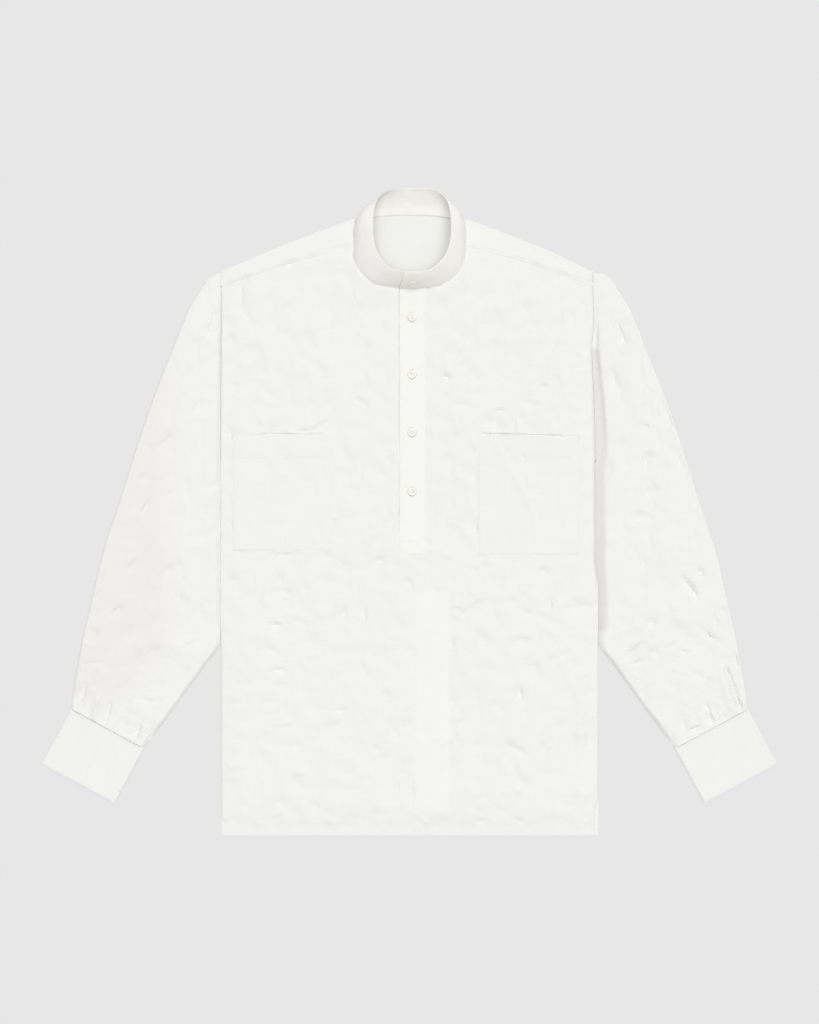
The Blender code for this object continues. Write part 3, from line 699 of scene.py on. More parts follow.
@dataclass(frozen=True)
class LinenFinish:
    """White washed linen of one weight."""

    name: str
    pale: tuple[float, float, float]
    shade: tuple[float, float, float]
    yarns_per_metre: float = 1500.0
    weave_relief: float = 0.00006
    slub: float = 0.36
    crumple_relief: float = 0.0006
    roughness: float = 0.85
    patch: Patch | None = None

    def build(self, weave: bpy.types.NodeTree, crumple: bpy.types.NodeTree) -> bpy.types.Material:
        """Make the material.

        Args:
            weave: the weave group.
            crumple: the crumple group.

        Returns:
            The material.
        """
        material, tree, shader = start_material(
            self.name, Roughness=self.roughness, Specular_IOR_Level=0.25, Sheen_Weight=0.12,
            Sheen_Roughness=0.6)
        cloth = tree.nodes.new("ShaderNodeUVMap")
        cloth.uv_map = CLOTH_COORDS
        yarns = tree.nodes.new("ShaderNodeGroup")
        yarns.node_tree = weave
        yarns.inputs["Yarns Per Metre"].default_value = self.yarns_per_metre
        yarns.inputs["Relief"].default_value = self.weave_relief
        yarns.inputs["Slub"].default_value = self.slub
        washed = tree.nodes.new("ShaderNodeGroup")
        washed.node_tree = crumple
        washed.inputs["Relief"].default_value = self.crumple_relief
        for node in (yarns, washed):
            tree.links.new(cloth.outputs["UV"], node.inputs["Cloth"])
        mix = tree.nodes.new("ShaderNodeMix")
        mix.data_type = "RGBA"
        mix.inputs["A"].default_value = (*self.shade, 1.0)
        mix.inputs["B"].default_value = (*self.pale, 1.0)
        yarn_tone = wire_math(tree, "MULTIPLY", yarns.outputs["Tone"], 0.8)
        tone = wire_math(tree, "MULTIPLY_ADD", washed.outputs["Cloud"], 0.4, yarn_tone, clamp=True)
        tree.links.new(tone, mix.inputs["Factor"])
        color = mix.outputs["Result"]
        if self.patch is not None:
            color = self.patch.add_to(tree, cloth.outputs["UV"], color)
        tree.links.new(color, shader.inputs["Base Color"])
        height = wire_math(tree, "ADD", yarns.outputs["Height"], washed.outputs["Height"])
        bump = tree.nodes.new("ShaderNodeBump")
        bump.inputs["Strength"].default_value = 1.0
        bump.inputs["Distance"].default_value = 1.0
        tree.links.new(height, bump.inputs["Height"])
        tree.links.new(bump.outputs["Normal"], shader.inputs["Normal"])
        return material


R = FoldForm.ROUND
L = FoldForm.LAP


def folds_from(rows: tuple[tuple, ...]) -> list[Fold]:
    """Folds from a table in millimetres.

    Args:
        rows: start x and y, end x and y, reach and lift of each, then its form and bow if it has them.

    Returns:
        The folds in the table's order.
    """
    made = []
    for start_x, start_y, end_x, end_y, reach, lift, *rest in rows:
        form = rest[0] if rest else FoldForm.CREASE
        bow = rest[1] * MM if len(rest) > 1 else 0.0
        made.append(Fold((start_x * MM, start_y * MM), (end_x * MM, end_y * MM), reach * MM, lift * MM,
                         form, bow))
    return made


# Broad forms that the solids have too
BROAD_FOLDS = folds_from((
    (28.7, -112, 28.7, -400, 22, 0.9, R), (-219, 300, -222, 255, 9, -1.4, R),
    (123, 85, 166, -30, 14, -1.1, R), (-150, 121, -115, 113, 12, 1.2, R),
    (108, 135, 142, 112, 12, 1.2, R), (-110, 235, -70, 130, 18, 0.8, R),
    (115, 245, 70, 165, 18, -0.8, R), (-200, -95, -170, -330, 24, 0.8, R),
    (-90, -100, -70, -300, 22, -0.8, R), (150, -120, 185, -340, 24, -0.8, R),
    (95, -95, 105, -250, 20, 0.7, R),
))

# Creases of the front that show in the photo, chest first and then downwards
FRONT_CREASES = folds_from((
    (102, 124, 118, 111, 8, -1.6, R), (-248.7, 315.3, -248, 291.3, 1.8, -1.4),
    (-212.7, 318, -224.7, 300, 4, -1.6, L), (-224.7, 300, -227.3, 271.3, 4.5, -2, L, 2),
    (-227.3, 271.3, -208.7, 252.7, 3.5, -1.5), (-105.2, 248, -104, 238, 2.2, -1.2),
    (-140, 239, -127, 215, 6, -1.1, R), (-173.6, 243, -173, 230, 3.5, -0.9),
    (-201, 190, -190, 184, 4, -0.9), (-194, 160, -182, 154, 3, -1.1),
    (-113, 144, -101, 142.5, 2.2, -1.3), (-76, 150, -56, 143, 3.5, -1.6, L, 2),
    (-70, 160, -72, 138, 4, -0.9, R), (-244, 112, -234, 96, 5.5, -1.3, R),
    (-147, 108, -126, 111, 2.8, -2, L, -1), (-126, 111, -112, 120, 2.6, -1.8, L),
    (-130, 123, -120, 127, 3, -1), (-63.5, 72, -64, 43, 2.8, -1), (-29, 74, -27, 64, 3.5, -1.2),
    (-40, 56, -34, 46, 4, -1, R), (-32, 8, -29, -3, 4, -1, R), (-91.8, 0, -92.5, -11, 2.2, -1.2),
    (-60, -56, -56, -69, 4, -1.3, R), (-45, -64, -35, -64, 2.5, -1.6, L),
    (-183, -57, -151, -56.5, 3, -1.6, L), (-118, -56, -105, -59, 2.5, -1.1),
    (-90.5, -64, -89.5, -83, 2, -1.4), (-83, -68, -83, -79, 1.8, -1.1),
    (-167, -106, -156, -108, 2.4, -1.4, L), (-169, -119, -160, -120, 2.2, -1.1),
    (-4, -90, 1, -99, 2.6, -1.8, L, 2), (-186, -149, -170, -151, 4, -1.8, L),
    (-181, -151, -176, -166, 6, -1, R), (-195, -180, -174, -187, 3.5, -1.4),
    (-130.5, -167, -130, -183, 2.5, -1.3), (-86, -128, -85.5, -143, 1.8, -1.6, L),
    (-60, -129, -59, -144, 2, -1.4, L), (-29, -169, -18, -170.5, 2, -1.4, L),
    (-65, -199, -57, -218, 3.5, -1.3, L), (-183, -211, -159, -212.5, 2.6, -1.8, L, 1),
    (-179, -234, -160, -230, 3.8, -1.2), (-197, -253, -179, -254, 3.2, -1.2, L),
    (-184, -287, -161, -285, 2.8, -1.8, L, -1), (-170, -310, -150, -314, 4, -1.4),
    (-99, -265, -87, -264, 3, -1.7, L), (-34, -241, -27, -245, 2.6, -1.8),
    (-46, -314, -41, -319, 2.8, -1.7), (-16, -364, -20, -380, 4.5, -1.6, L, 1),
    (2.5, -362, 2.5, -390, 2.8, -1.2), (-172, -380, -170, -392, 3.5, -1.3),
    (-150, -356, -148, -370, 3.5, -1.2), (-93, -419, -83, -417, 3.5, -1.4),
    (-26, -423, -16, -420, 3.5, -1.4), (102, 290, 96, 280, 4, -1, R), (219, 266, 220, 252, 6, -1.3, R),
    (203, 237, 188, 213, 3.5, -1.5, L, 1), (54, 220, 49, 208, 5, -1, R), (82, 235, 75, 222, 4.5, -1),
    (44, 185, 59, 177.5, 2.8, -2.1, L, -2), (67.3, 194, 83, 200, 2.6, -1.4, L),
    (86, 192, 85.5, 176, 2.4, -1.3), (154, 146, 167, 144, 1.8, -1.7, L),
    (173, 169, 186, 166, 1.8, -1.6, L), (160, 130, 171, 127, 3, -1.1), (113, 133, 128, 136, 3, -1.9, L),
    (113, 131, 119, 115, 3.4, -1.6), (139.1, 125, 138.5, 106, 2.2, -1.6, L),
    (195, 125, 201, 112, 3.5, -1.1), (55.3, 69, 56, 50, 2.4, -1.3, L), (54, 23, 55.5, 5, 4.5, -1.1, R),
    (84, 56, 86, 40, 3.5, -1.3), (88, -13, 89, -29, 2.6, -1.2), (92, -60, 106, -59.5, 2.2, -1.9, L),
    (79, -76, 92, -79, 2.6, -1.4, L), (176, -77, 182, -83, 3.4, -2.5),
    (189, -118, 186, -131, 4, -2.5, L), (150, -129, 166, -138, 5, -1.3, L),
    (58.5, -129, 74, -139, 2.8, -1.9, L, 3), (74, -139, 85, -124, 2.8, -1.7),
    (85, -124, 104, -116, 2.4, -1.3, L), (100, -166, 101, -179, 2.8, -1.5),
    (57.2, -168, 58, -187, 3, -1.5, L), (144, -170, 158, -172, 2.6, -1.5),
    (146.5, -236, 150, -250, 3.4, -2.2, L), (116, -253, 118, -264, 2.4, -1.3),
    (125, -254, 126, -270, 2.4, -1.3, L), (160, -208, 172, -205, 2.4, -1.2),
    (173, -309, 179, -318, 3.6, -1.7), (133, -311, 155, -321, 3.2, -1.5, L, 1),
    (60, -283, 62, -307, 3.6, -1.4, L), (87, -307, 88, -318, 4, -1.2),
    (50, -338, 51, -362, 3.4, -1.4, L), (139, -408, 152, -412, 3, -1.8, L),
    (89, -411, 102, -413, 3.4, -1.4), (229, -190, 227, -360, 6, 0.8, R),
    (5.5, -108, 4, -402, 4, -0.9, R), (53.5, -110, 52, -398, 4, -1, R),
))

# Creases of the yoke along the shoulder line and the front seam
YOKE_CREASES = folds_from((
    (85, 381.5, 170, 350, 4.5, -3, R, 2), (160, 354, 228, 323.5, 4.5, -3, R, 1),
    (95, 380, 107, 377, 2.4, -1.4, L), (124, 373, 138, 367, 2.8, -1.6, L),
    (168, 352, 180, 348, 2.6, -1.4), (188, 346, 196, 340, 2.8, -1.3), (210, 329, 225, 325, 3, -1.4, L),
    (116.7, 347, 164.7, 333.5, 5, 1, R), (164.7, 333.5, 227.3, 316, 4.5, 1.1, R),
    (221, 305, 239, 296, 2.6, -1.8, L), (-112, 346, -170, 330, 5, 0.9, R),
    (-170, 330, -225, 313, 4.5, 0.9, R), (-135, 364, -122, 368, 3, -1.3, L),
    (-190, 340, -178, 344, 2.6, -1.2), (-233, 318, -223, 324, 3, -1.5, L),
))

# Creases of the right sleeve, from the shoulder to the cuff
SLEEVE_CREASES_RIGHT = folds_from((
    (290, -195, 340, -165, 12, 1.2, R), (348, -150, 395, -185, 12, -1.2, R),
    (330, -20, 345, -75, 14, 1, R), (305, 60, 330, -5, 14, -1, R), (290, 190, 310, 110, 10, 1, R),
    (278, 248, 286, 230, 3, -1.2, L), (270, 190, 274, 172, 3, -1.2), (311, 116, 319, 112, 3.2, -1.6, L),
    (314, 74, 315, 56, 2.6, -1.4), (315, 76, 328, 74, 2.4, -1.2, L),
    (296, -6, 324, -9, 2.6, -1.8, L, 2), (308, -66, 315, -70, 3, -1.6), (307, -99, 314, -102, 3, -1.4),
    (383.3, -76.7, 392.7, -83.3, 2.8, -2.2, L), (364.7, -88.7, 382, -114, 4.8, -2.4, L, 2),
    (394, -160.7, 406, -168.7, 3, -2.2, L), (318, -147, 326, -150, 3.2, -1.8),
    (290, -192.7, 312.7, -174, 2.6, -2.2, L, 3), (321, -185, 329, -188, 3, -1.7),
    (359, -186, 370, -187, 3.2, -1.6, L), (420, -206, 428.7, -223.3, 3, -2.6, L),
    (428.7, -223.3, 436.7, -250, 3.2, -2.6, L), (436.7, -250, 442, -262, 2.8, -2.2, L),
    (415, -210, 429, -262, 6, 1.4, R), (374, -291, 385, -286, 4.6, -2.4, L),
    (348, -304, 352, -312, 3.6, -1.8), (395, -256, 404, -283, 4, -1.7, L),
    (362, -272, 368, -299, 3.6, -1.5), (433, -190, 438, -208, 2.8, -1.8, L),
))

# Creases of the left sleeve; the outer edge has more of them
SLEEVE_CREASES_LEFT = folds_from((
    (-285, -190, -336, -168, 12, 1.2, R), (-346, -145, -390, -180, 12, -1.2, R),
    (-328, -15, -342, -80, 14, 1, R), (-305, 70, -325, 0, 14, -1, R), (-290, 180, -305, 110, 10, 1, R),
    (-260, 260, -268, 238, 3.2, -1.3, L), (-276, 150, -284, 133, 3.4, -1.4),
    (-320, 98, -332, 90, 3, -1.5, L), (-296, 42, -302, 24, 3.6, -1.3),
    (-348, 15, -356, -2, 3.2, -1.5, L), (-416, -84, -409, -90, 3.4, -1.8, L),
    (-421, -108, -414, -115, 3.6, -1.9, L), (-429, -131, -422, -137, 3.6, -2, L),
    (-426, -157, -416, -164, 3.4, -1.9, L), (-363, -64, -376, -76, 3.6, -1.6, L),
    (-320, -76, -330, -92, 3.2, -1.4), (-382, -128, -398, -137, 3, -1.7, L, 2),
    (-336, -182, -350, -194, 3.4, -1.6), (-285, -172, -300, -180, 3, -1.4, L),
    (-443, -202, -438, -213, 3.2, -2.2, L), (-436.7, -250, -430, -228, 3.2, -2.2, L),
    (-404.7, -281, -398, -256, 3.4, -2.2, L), (-420, -272, -413, -242, 4, 1.2, R),
    (-363.3, -301, -357, -280, 3.4, -2, L), (-346, -308, -342, -290, 3, -1.8),
    (-342, -261, -336, -268, 3.4, -1.8, L), (-383, -292, -376, -266, 3.6, -1.5),
))

# Rows across a sleeve from the shoulder to the cuff: how far the inner edge stands out
# from the side seam, its y, the outer edge's x and y, and the width of the dip by the body
SLEEVE_ROWS = np.array([
    (0.0000, 0.3200, 0.2590, 0.3180, 0.002),
    (0.0000, 0.3110, 0.2690, 0.3105, 0.006),
    (0.0000, 0.2960, 0.2775, 0.2975, 0.010),
    (0.0000, 0.2660, 0.2955, 0.2680, 0.009),
    (0.0000, 0.2150, 0.3175, 0.2130, 0.004),
    (0.0000, 0.1500, 0.3425, 0.1500, 0.008),
    (0.0000, 0.0820, 0.3655, 0.0820, 0.011),
    (0.0000, 0.0150, 0.3870, 0.0130, 0.012),
    (0.0000, -0.0520, 0.4085, -0.0520, 0.010),
    (0.0000, -0.1180, 0.4245, -0.1210, 0.007),
    (0.0000, -0.1730, 0.4360, -0.1700, 0.006),
    (0.0195, -0.2030, 0.4410, -0.1980, 0.004),
    (0.0450, -0.2380, 0.4455, -0.2230, 0.004),
    (0.0740, -0.2780, 0.4490, -0.2450, 0.004),
])

# The band by the share of the way from centre front to centre back: heights of its lower
# edge and its rim, and how far its face swells between them
BAND_STATIONS = np.array([
    (0.00, 0.0092, 0.0370, 0.0030),
    (0.12, 0.0082, 0.0360, 0.0030),
    (0.30, 0.0077, 0.0300, 0.0020),
    (0.48, 0.0078, 0.0310, 0.0040),
    (0.58, 0.0078, 0.0310, 0.0070),
    (0.65, 0.0060, 0.0280, 0.0080),
    (0.72, 0.0030, 0.0230, 0.0070),
    (0.85, 0.0016, 0.0160, 0.0045),
    (1.00, 0.0013, 0.0135, 0.0025),
])


def smooth_rows(stations: np.ndarray, table: np.ndarray, places: np.ndarray) -> np.ndarray:
    """Read a table between its rows along a smooth curve.

    Args:
        stations: where each row of the table stands.
        table: the rows.
        places: where to read.

    Returns:
        A row of values for each place.
    """
    last = len(stations) - 1
    index = np.clip(np.searchsorted(stations, places, side="right") - 1, 0, last - 1)
    before = np.maximum(index - 1, 0)
    after = np.minimum(index + 2, last)
    span = stations[index + 1] - stations[index]
    share = (places - stations[index]) / span
    slope_in = (table[index + 1] - table[before]) / (stations[index + 1] - stations[before])[:, None]
    slope_out = (table[after] - table[index]) / (stations[after] - stations[index])[:, None]
    square = (share ** 2)[:, None]
    cube = (share ** 3)[:, None]
    run = span[:, None]
    return ((2 * cube - 3 * square + 1) * table[index] + (cube - 2 * square + share[:, None]) * run * slope_in
            + (3 * square - 2 * cube) * table[index + 1] + (cube - square) * run * slope_out)


def length_along(across: np.ndarray, height: np.ndarray) -> np.ndarray:
    """Length of a section up to each of its points."""
    return np.cumsum(np.hypot(np.diff(across, prepend=across[0]), np.diff(height, prepend=height[0])))


@dataclass
class Thread:
    """Topstitching: short raised stitches along seams, gathered into one piece."""

    pitch: float = 0.0032
    gap: float = 0.0009
    radius: float = 0.00021
    sides: int = 5
    stitches: list[tuple[np.ndarray, np.ndarray]] = field(default_factory=list)

    def sew(self, path: np.ndarray, up: np.ndarray | None = None) -> None:
        """Lay stitches along a path of surface points.

        Args:
            path: points on the cloth, in order.
            up: the cloth's outward direction at each point, or nothing for upwards.
        """
        if up is None:
            up = np.tile(UPWARDS, (len(path), 1))
        steps = np.linalg.norm(np.diff(path, axis=0), axis=1)
        length = np.concatenate([[0.0], np.cumsum(steps)])
        starts = np.arange(0.0, length[-1] - self.pitch + self.gap, self.pitch)
        shares = np.linspace(0.0, 1.0, STITCH_POINTS)
        for start in starts:
            places = start + shares * (self.pitch - self.gap)
            spine = np.stack([np.interp(places, length, path[:, axis]) for axis in range(3)], -1)
            out = np.stack([np.interp(places, length, up[:, axis]) for axis in range(3)], -1)
            out /= np.linalg.norm(out, axis=1, keepdims=True)
            rise = 1.6 * np.sin(math.pi * shares) - 0.6
            self.stitches.append((spine + out * (rise * self.radius)[:, None], out))

    def build(self, name: str, material: bpy.types.Material) -> bpy.types.Object:
        """Make one mesh of all the stitches.

        Args:
            name: the piece's name.
            material: the thread's finish.

        Returns:
            The mesh object.
        """
        spines = np.array([spine for spine, _ in self.stitches])
        outs = np.array([out for _, out in self.stitches])
        count, rings = spines.shape[:2]
        ahead = spines[:, -1:] - spines[:, :1]
        ahead = ahead / np.linalg.norm(ahead, axis=2, keepdims=True)
        aside = np.cross(ahead, outs)
        girth = np.array((0.45, 0.95, 1.0, 0.95, 0.45))[:rings] * self.radius
        angle = 2.0 * math.pi * np.arange(self.sides) / self.sides
        points = (spines[:, :, None]
                  + girth[None, :, None, None] * (np.cos(angle)[None, None, :, None] * aside[:, :, None]
                                                  + np.sin(angle)[None, None, :, None] * outs[:, :, None]))
        number = np.arange(count * rings * self.sides).reshape(count, rings, self.sides)
        turned = np.roll(number, -1, axis=2)
        faces = np.stack([number[:, :-1], turned[:, :-1], turned[:, 1:], number[:, 1:]], -1).reshape(-1, 4)
        mesh = bpy.data.meshes.new(name)
        mesh.from_pydata(points.reshape(-1, 3).tolist(), [], faces.tolist())
        mesh.update()
        mesh.shade_smooth()
        mesh.materials.append(material)
        obj = link(name, mesh)
        LOG.info("%s: %d stitches", name, count)
        return obj


@dataclass(frozen=True)
class Finishes:
    """The shirt's materials."""

    linen: bpy.types.Material
    front: bpy.types.Material
    sleeve_left: bpy.types.Material
    sleeve_right: bpy.types.Material
    band: bpy.types.Material
    pressed: bpy.types.Material
    trim: bpy.types.Material
    thread: bpy.types.Material
    button: bpy.types.Material


@dataclass
class UpperCloth:
    """Height of the shirt's upper layer over the table, shared by the pieces sewn to it."""

    top: float = 0.0070
    hem_top: float = 0.0022
    side_top: float = 0.0046
    side_ease: float = 0.0300
    hem_ease: float = 0.0450
    hem_depth: float = 0.0200
    neck_lift: float = 0.0026
    neck_reach: float = 0.0130
    puff: float = 0.0011
    puff_grain: float = 0.0900
    facet: float = 0.00120
    facet_grain: float = 0.0200
    crease_gain: float = 2.1
    least_reach: float = 0.0034
    creasing: Creasing = Creasing(seed=41, per_square_metre=1100, narrow=0.0030, wide=0.0065, lift=0.0024)
    creases: list[Fold] = field(default_factory=list)

    def __post_init__(self) -> None:
        """Scatter the seeded creases."""
        shown = [fold.stronger(self.crease_gain, self.least_reach) for fold in FRONT_CREASES]
        self.creases = shown + self.creasing.scatter(
            (-PATTERN.half_width, PATTERN.hem_y), (PATTERN.half_width, PATTERN.neck_y))

    def base(self, x: np.ndarray, y: np.ndarray) -> np.ndarray:
        """Height without the fine creases.

        Args:
            x: the points' x.
            y: the points' y.

        Returns:
            The heights.
        """
        rise = ease((y - PATTERN.hem_y) / self.hem_ease)
        inset = PATTERN.half_width - np.abs(x)
        broad = folded(BROAD_FOLDS, x, y) + self.puff * soft_noise(x, y, self.puff_grain, 5)
        away = np.hypot(x, y - PATTERN.neck_middle_y) - self.neck_radius(x, y)
        collar = self.neck_lift * np.exp(-(np.maximum(away, 0.0) / self.neck_reach) ** 1.5)
        collar = collar * (y < PATTERN.neck_middle_y + 0.05)
        flat = self.side_top + (self.top - self.side_top) * ease(inset / self.side_ease)
        return self.hem_top + (flat - self.hem_top) * rise + broad * ease(inset / 0.012) * rise + collar

    def neck_radius(self, x: np.ndarray, y: np.ndarray) -> np.ndarray:
        """Distance of the neck seam from its middle, in the direction of each point.

        Args:
            x: the points' x.
            y: the points' y.

        Returns:
            The distances.
        """
        angle = np.arctan2(np.abs(x), PATTERN.neck_middle_y - y)
        across = (np.abs(np.sin(angle)) / PATTERN.neck_half) ** PATTERN.neck_round
        down = (np.abs(np.cos(angle)) / PATTERN.neck_front) ** PATTERN.neck_round
        return (across + down) ** (-1.0 / PATTERN.neck_round)

    def free(self, x: np.ndarray, y: np.ndarray) -> np.ndarray:
        """How freely the cloth can crease, less under the pieces sewn to it and by the seams.

        Args:
            x: the points' x.
            y: the points' y.

        Returns:
            Shares from 0 to 1.
        """
        placket = inside(x, -0.0150, 0.0240, 0.006) * inside(y, -0.0580, 0.4, 0.006)
        hem = 1.0 - ease((y - PATTERN.hem_y) / self.hem_depth)
        side = 1.0 - ease((PATTERN.half_width - np.abs(x)) / 0.010)
        strip = 0.55 * inside(x, 0.0050, 0.0530, 0.006) * inside(y, -0.40, -0.11, 0.02)
        held = [placket, strip, 0.6 * hem, 0.7 * side]
        for outer_x, inner_x, floor_y in (POCKET_LEFT, POCKET_RIGHT):
            across = inside(x, min(outer_x, inner_x), max(outer_x, inner_x), 0.005)
            held.append(across * inside(y, floor_y, POCKET_MOUTH_Y, 0.005))
        return 1.0 - 0.93 * np.maximum.reduce(held)

    def fine(self, x: np.ndarray, y: np.ndarray) -> np.ndarray:
        """Height of the fine creases and facets.

        Args:
            x: the points' x.
            y: the points' y.

        Returns:
            The heights.
        """
        facets = (soft_noise(x, y, self.facet_grain, 7)
                  + 0.35 * soft_noise(x, y, self.facet_grain * 0.45, 8))
        return (folded(self.creases, x, y) + self.facet * facets) * self.free(x, y)

    def height(self, x: np.ndarray, y: np.ndarray) -> np.ndarray:
        """Height of the upper face."""
        return self.base(x, y) + self.fine(x, y)


@dataclass
class Body:
    """Front, back and yoke."""

    upper: UpperCloth
    finishes: Finishes
    spacing: float = 0.0030
    wall: float = 0.0007
    fan_start_y: float = 0.2000
    fan_rows: int = 34
    mouth_rows: tuple[float, float, float] = (0.0975, 0.1075, 0.0009)
    mouth_half: float = 0.0019
    mouth_fade: float = 0.55
    side_from_x: float = 0.17
    side_soft: float = 0.075
    tuck: float = 0.0007
    tuck_drop: float = 0.0010
    roll_steps: int = 6
    side_roll: float = 0.0060
    side_foot: float = 0.0012
    ditch_left: float = -0.0154
    ditch_right: float = -0.0140
    ditch_depth: float = 0.0011
    vent_floor_y: float = -0.3810
    vent_draw: float = 0.0050
    seam_gap: float = 0.0002
    shoulder_top: float = 0.0048

    def front_columns(self) -> np.ndarray:
        """The x of the front's columns, closer together by the placket's edge.

        Returns:
            The x in order.
        """
        edge = PATTERN.half_width - self.side_roll
        left = np.arange(-edge, self.ditch_left, self.spacing)
        ditch = np.array((self.ditch_left, -0.0150, -0.0145, self.ditch_right, -0.0126, PATTERN.slit_left))
        middle = np.linspace(PATTERN.slit_left, PATTERN.slit_right, 11)[1:]
        right = np.linspace(PATTERN.slit_right, edge, int((edge - PATTERN.slit_right) / self.spacing))[1:]
        return np.concatenate([left[:-1], ditch, middle, right])

    def front_levels(self) -> np.ndarray:
        """The y of the front's level rows, with one at the slit's floor.

        Returns:
            The y in order.
        """
        below = np.arange(PATTERN.slit_floor_y, PATTERN.hem_y + 0.002, -self.spacing)[::-1]
        above = np.arange(PATTERN.slit_floor_y, self.fan_start_y, self.spacing)[1:]
        mouth = np.arange(self.mouth_rows[0], self.mouth_rows[1], self.mouth_rows[2])
        apart = (above < mouth[0] - 0.0010) | (above > mouth[-1] + 0.0010)
        return np.concatenate([[PATTERN.hem_y], below, np.sort(np.concatenate([above[apart], mouth]))])

    def row_tops(self, x: np.ndarray) -> np.ndarray:
        """Where the front's columns end, at the neckline or the yoke seam."""
        at_neck = np.abs(x) < PATTERN.neck_half - PATTERN.neck_lap
        return np.where(at_neck, PATTERN.neck_front_y(x), PATTERN.yoke_seam_y(x) - self.seam_gap / 2)

    def side_draw(self, side: int, y: np.ndarray) -> np.ndarray:
        """How far the front's edge is drawn in, at the vent and softly elsewhere.

        Args:
            side: 1 for the right, -1 for the left.
            y: where to read.

        Returns:
            The distances.
        """
        waver = 0.0007 * soft_noise(y, y * 0.0 + side, 0.055, 21)
        vent = ease((self.vent_floor_y - y) / 0.020) * (self.vent_draw if side > 0 else 0.0008)
        below = inside(y, PATTERN.hem_y, -0.17, 0.05)
        return vent + PATTERN.valley_draw(side, y) + np.maximum(waver, -0.0004) * below

    def front_z(self, x: np.ndarray, y: np.ndarray) -> np.ndarray:
        """Height of the front, with the ditches beside the placket and above the pocket mouths.

        Args:
            x: the grid's x.
            y: the grid's y.

        Returns:
            The heights.
        """
        z = self.upper.height(x.ravel(), y.ravel()).reshape(x.shape)
        ditch = ease((x - self.ditch_left) / (self.ditch_right - self.ditch_left))
        ditch *= inside(x, -0.1, 0.0, 0.002) * ease((y + 0.040) / 0.022)
        calm = 1.0 - 0.8 * inside(y, 0.046, 0.098, 0.02)
        varied = (0.65 + 0.5 * soft_noise(y, y * 0.0, 0.050, 77)) * calm
        z = z - self.ditch_depth * ditch * varied
        for low, high, at_low, at_high, depth in MOUTH_DITCHES:
            line = at_low + (at_high - at_low) * (x - low) / (high - low)
            near = np.clip(1.0 - np.abs((y - line) / self.mouth_half), 0.0, 1.0)
            uneven = 1.0 + 0.5 * soft_noise(x, x * 0.0, 0.018, 91)
            fade = (1.0 - self.mouth_fade * (x - low) / (high - low)) * uneven
            z -= depth * near * fade * inside(x, low, high, 0.016)
        return np.maximum(z, LEAST_TOP)

    def rolled_side(self, side: int, row_y: np.ndarray, near: np.ndarray) -> np.ndarray:
        """Cloth that rolls over the front's side, down to the back or to the armhole seam.

        Args:
            side: 1 for the right, -1 for the left.
            row_y: y of the front's rows.
            near: height of each row's last point.

        Returns:
            The points of each row, from the lowest upwards.
        """
        steps = np.arange(self.roll_steps)
        angle = 0.5 * math.pi * steps / self.roll_steps
        inset = self.side_roll * (1.0 - np.cos(angle))
        rise = np.sin(angle)
        edge = PATTERN.side_x(side, row_y) - self.side_draw(side, row_y)
        seamed = ease((row_y + 0.175) / 0.03)
        low_z = PATTERN.valley_z(side, row_y) - self.tuck_drop
        foot = self.side_foot + (low_z - self.side_foot) * seamed
        sloped = ease(steps / self.roll_steps) if side > 0 else rise
        even = self.side_roll * steps / self.roll_steps - self.tuck
        block_x = side * (edge - inset[None, :] * (1.0 - seamed) - seamed * even)
        block_z = foot + (near - foot) * (rise + (sloped - rise) * seamed)
        return np.stack([block_x, np.repeat(row_y, len(steps), 1), block_z], -1)

    def build_front(self) -> bpy.types.Object:
        """Front panel with the placket's slit and the pressed ditch along it.

        Returns:
            The piece.
        """
        columns = self.front_columns()
        levels = self.front_levels()
        fan = np.arange(1, self.fan_rows + 1) / self.fan_rows
        tops = self.row_tops(columns)
        y_level = np.repeat(levels[:, None], len(columns), axis=1)
        y_fan = levels[-1] + fan[:, None] * (tops[None, :] - levels[-1])
        y = np.concatenate([y_level, y_fan])
        x = np.repeat(columns[None, :], len(y), axis=0)
        z = self.front_z(x, y)
        left = self.rolled_side(-1, y[:, :1], z[:, :1])
        right = self.rolled_side(1, y[:, -1:], z[:, -1:])[:, ::-1]
        left_edge = PATTERN.side_x(-1, y[:, :1]) - self.side_draw(-1, y[:, :1])
        right_edge = PATTERN.side_x(1, y[:, -1:]) - self.side_draw(1, y[:, -1:])
        shift = (ease((x - self.side_from_x) / self.side_soft) * (right_edge - PATTERN.half_width)
                 - ease((-x - self.side_from_x) / self.side_soft) * (left_edge - PATTERN.half_width))
        points = np.concatenate([left, np.stack([x + shift, y, z], -1), right], axis=1)
        coords = points[:, :, :2].copy()
        keep = np.ones((points.shape[0] - 1, points.shape[1] - 1), bool)
        slit_floor = int(np.argmin(np.abs(levels - PATTERN.slit_floor_y)))
        first = self.roll_steps + int(np.argmin(np.abs(columns - PATTERN.slit_left)))
        last = self.roll_steps + int(np.argmin(np.abs(columns - PATTERN.slit_right)))
        keep[slit_floor:, first:last] = False
        front = Cloth(points, coords, keep).build("front_linen", self.finishes.front, self.wall)
        put(front, Slot.LINEN, "front")
        return front

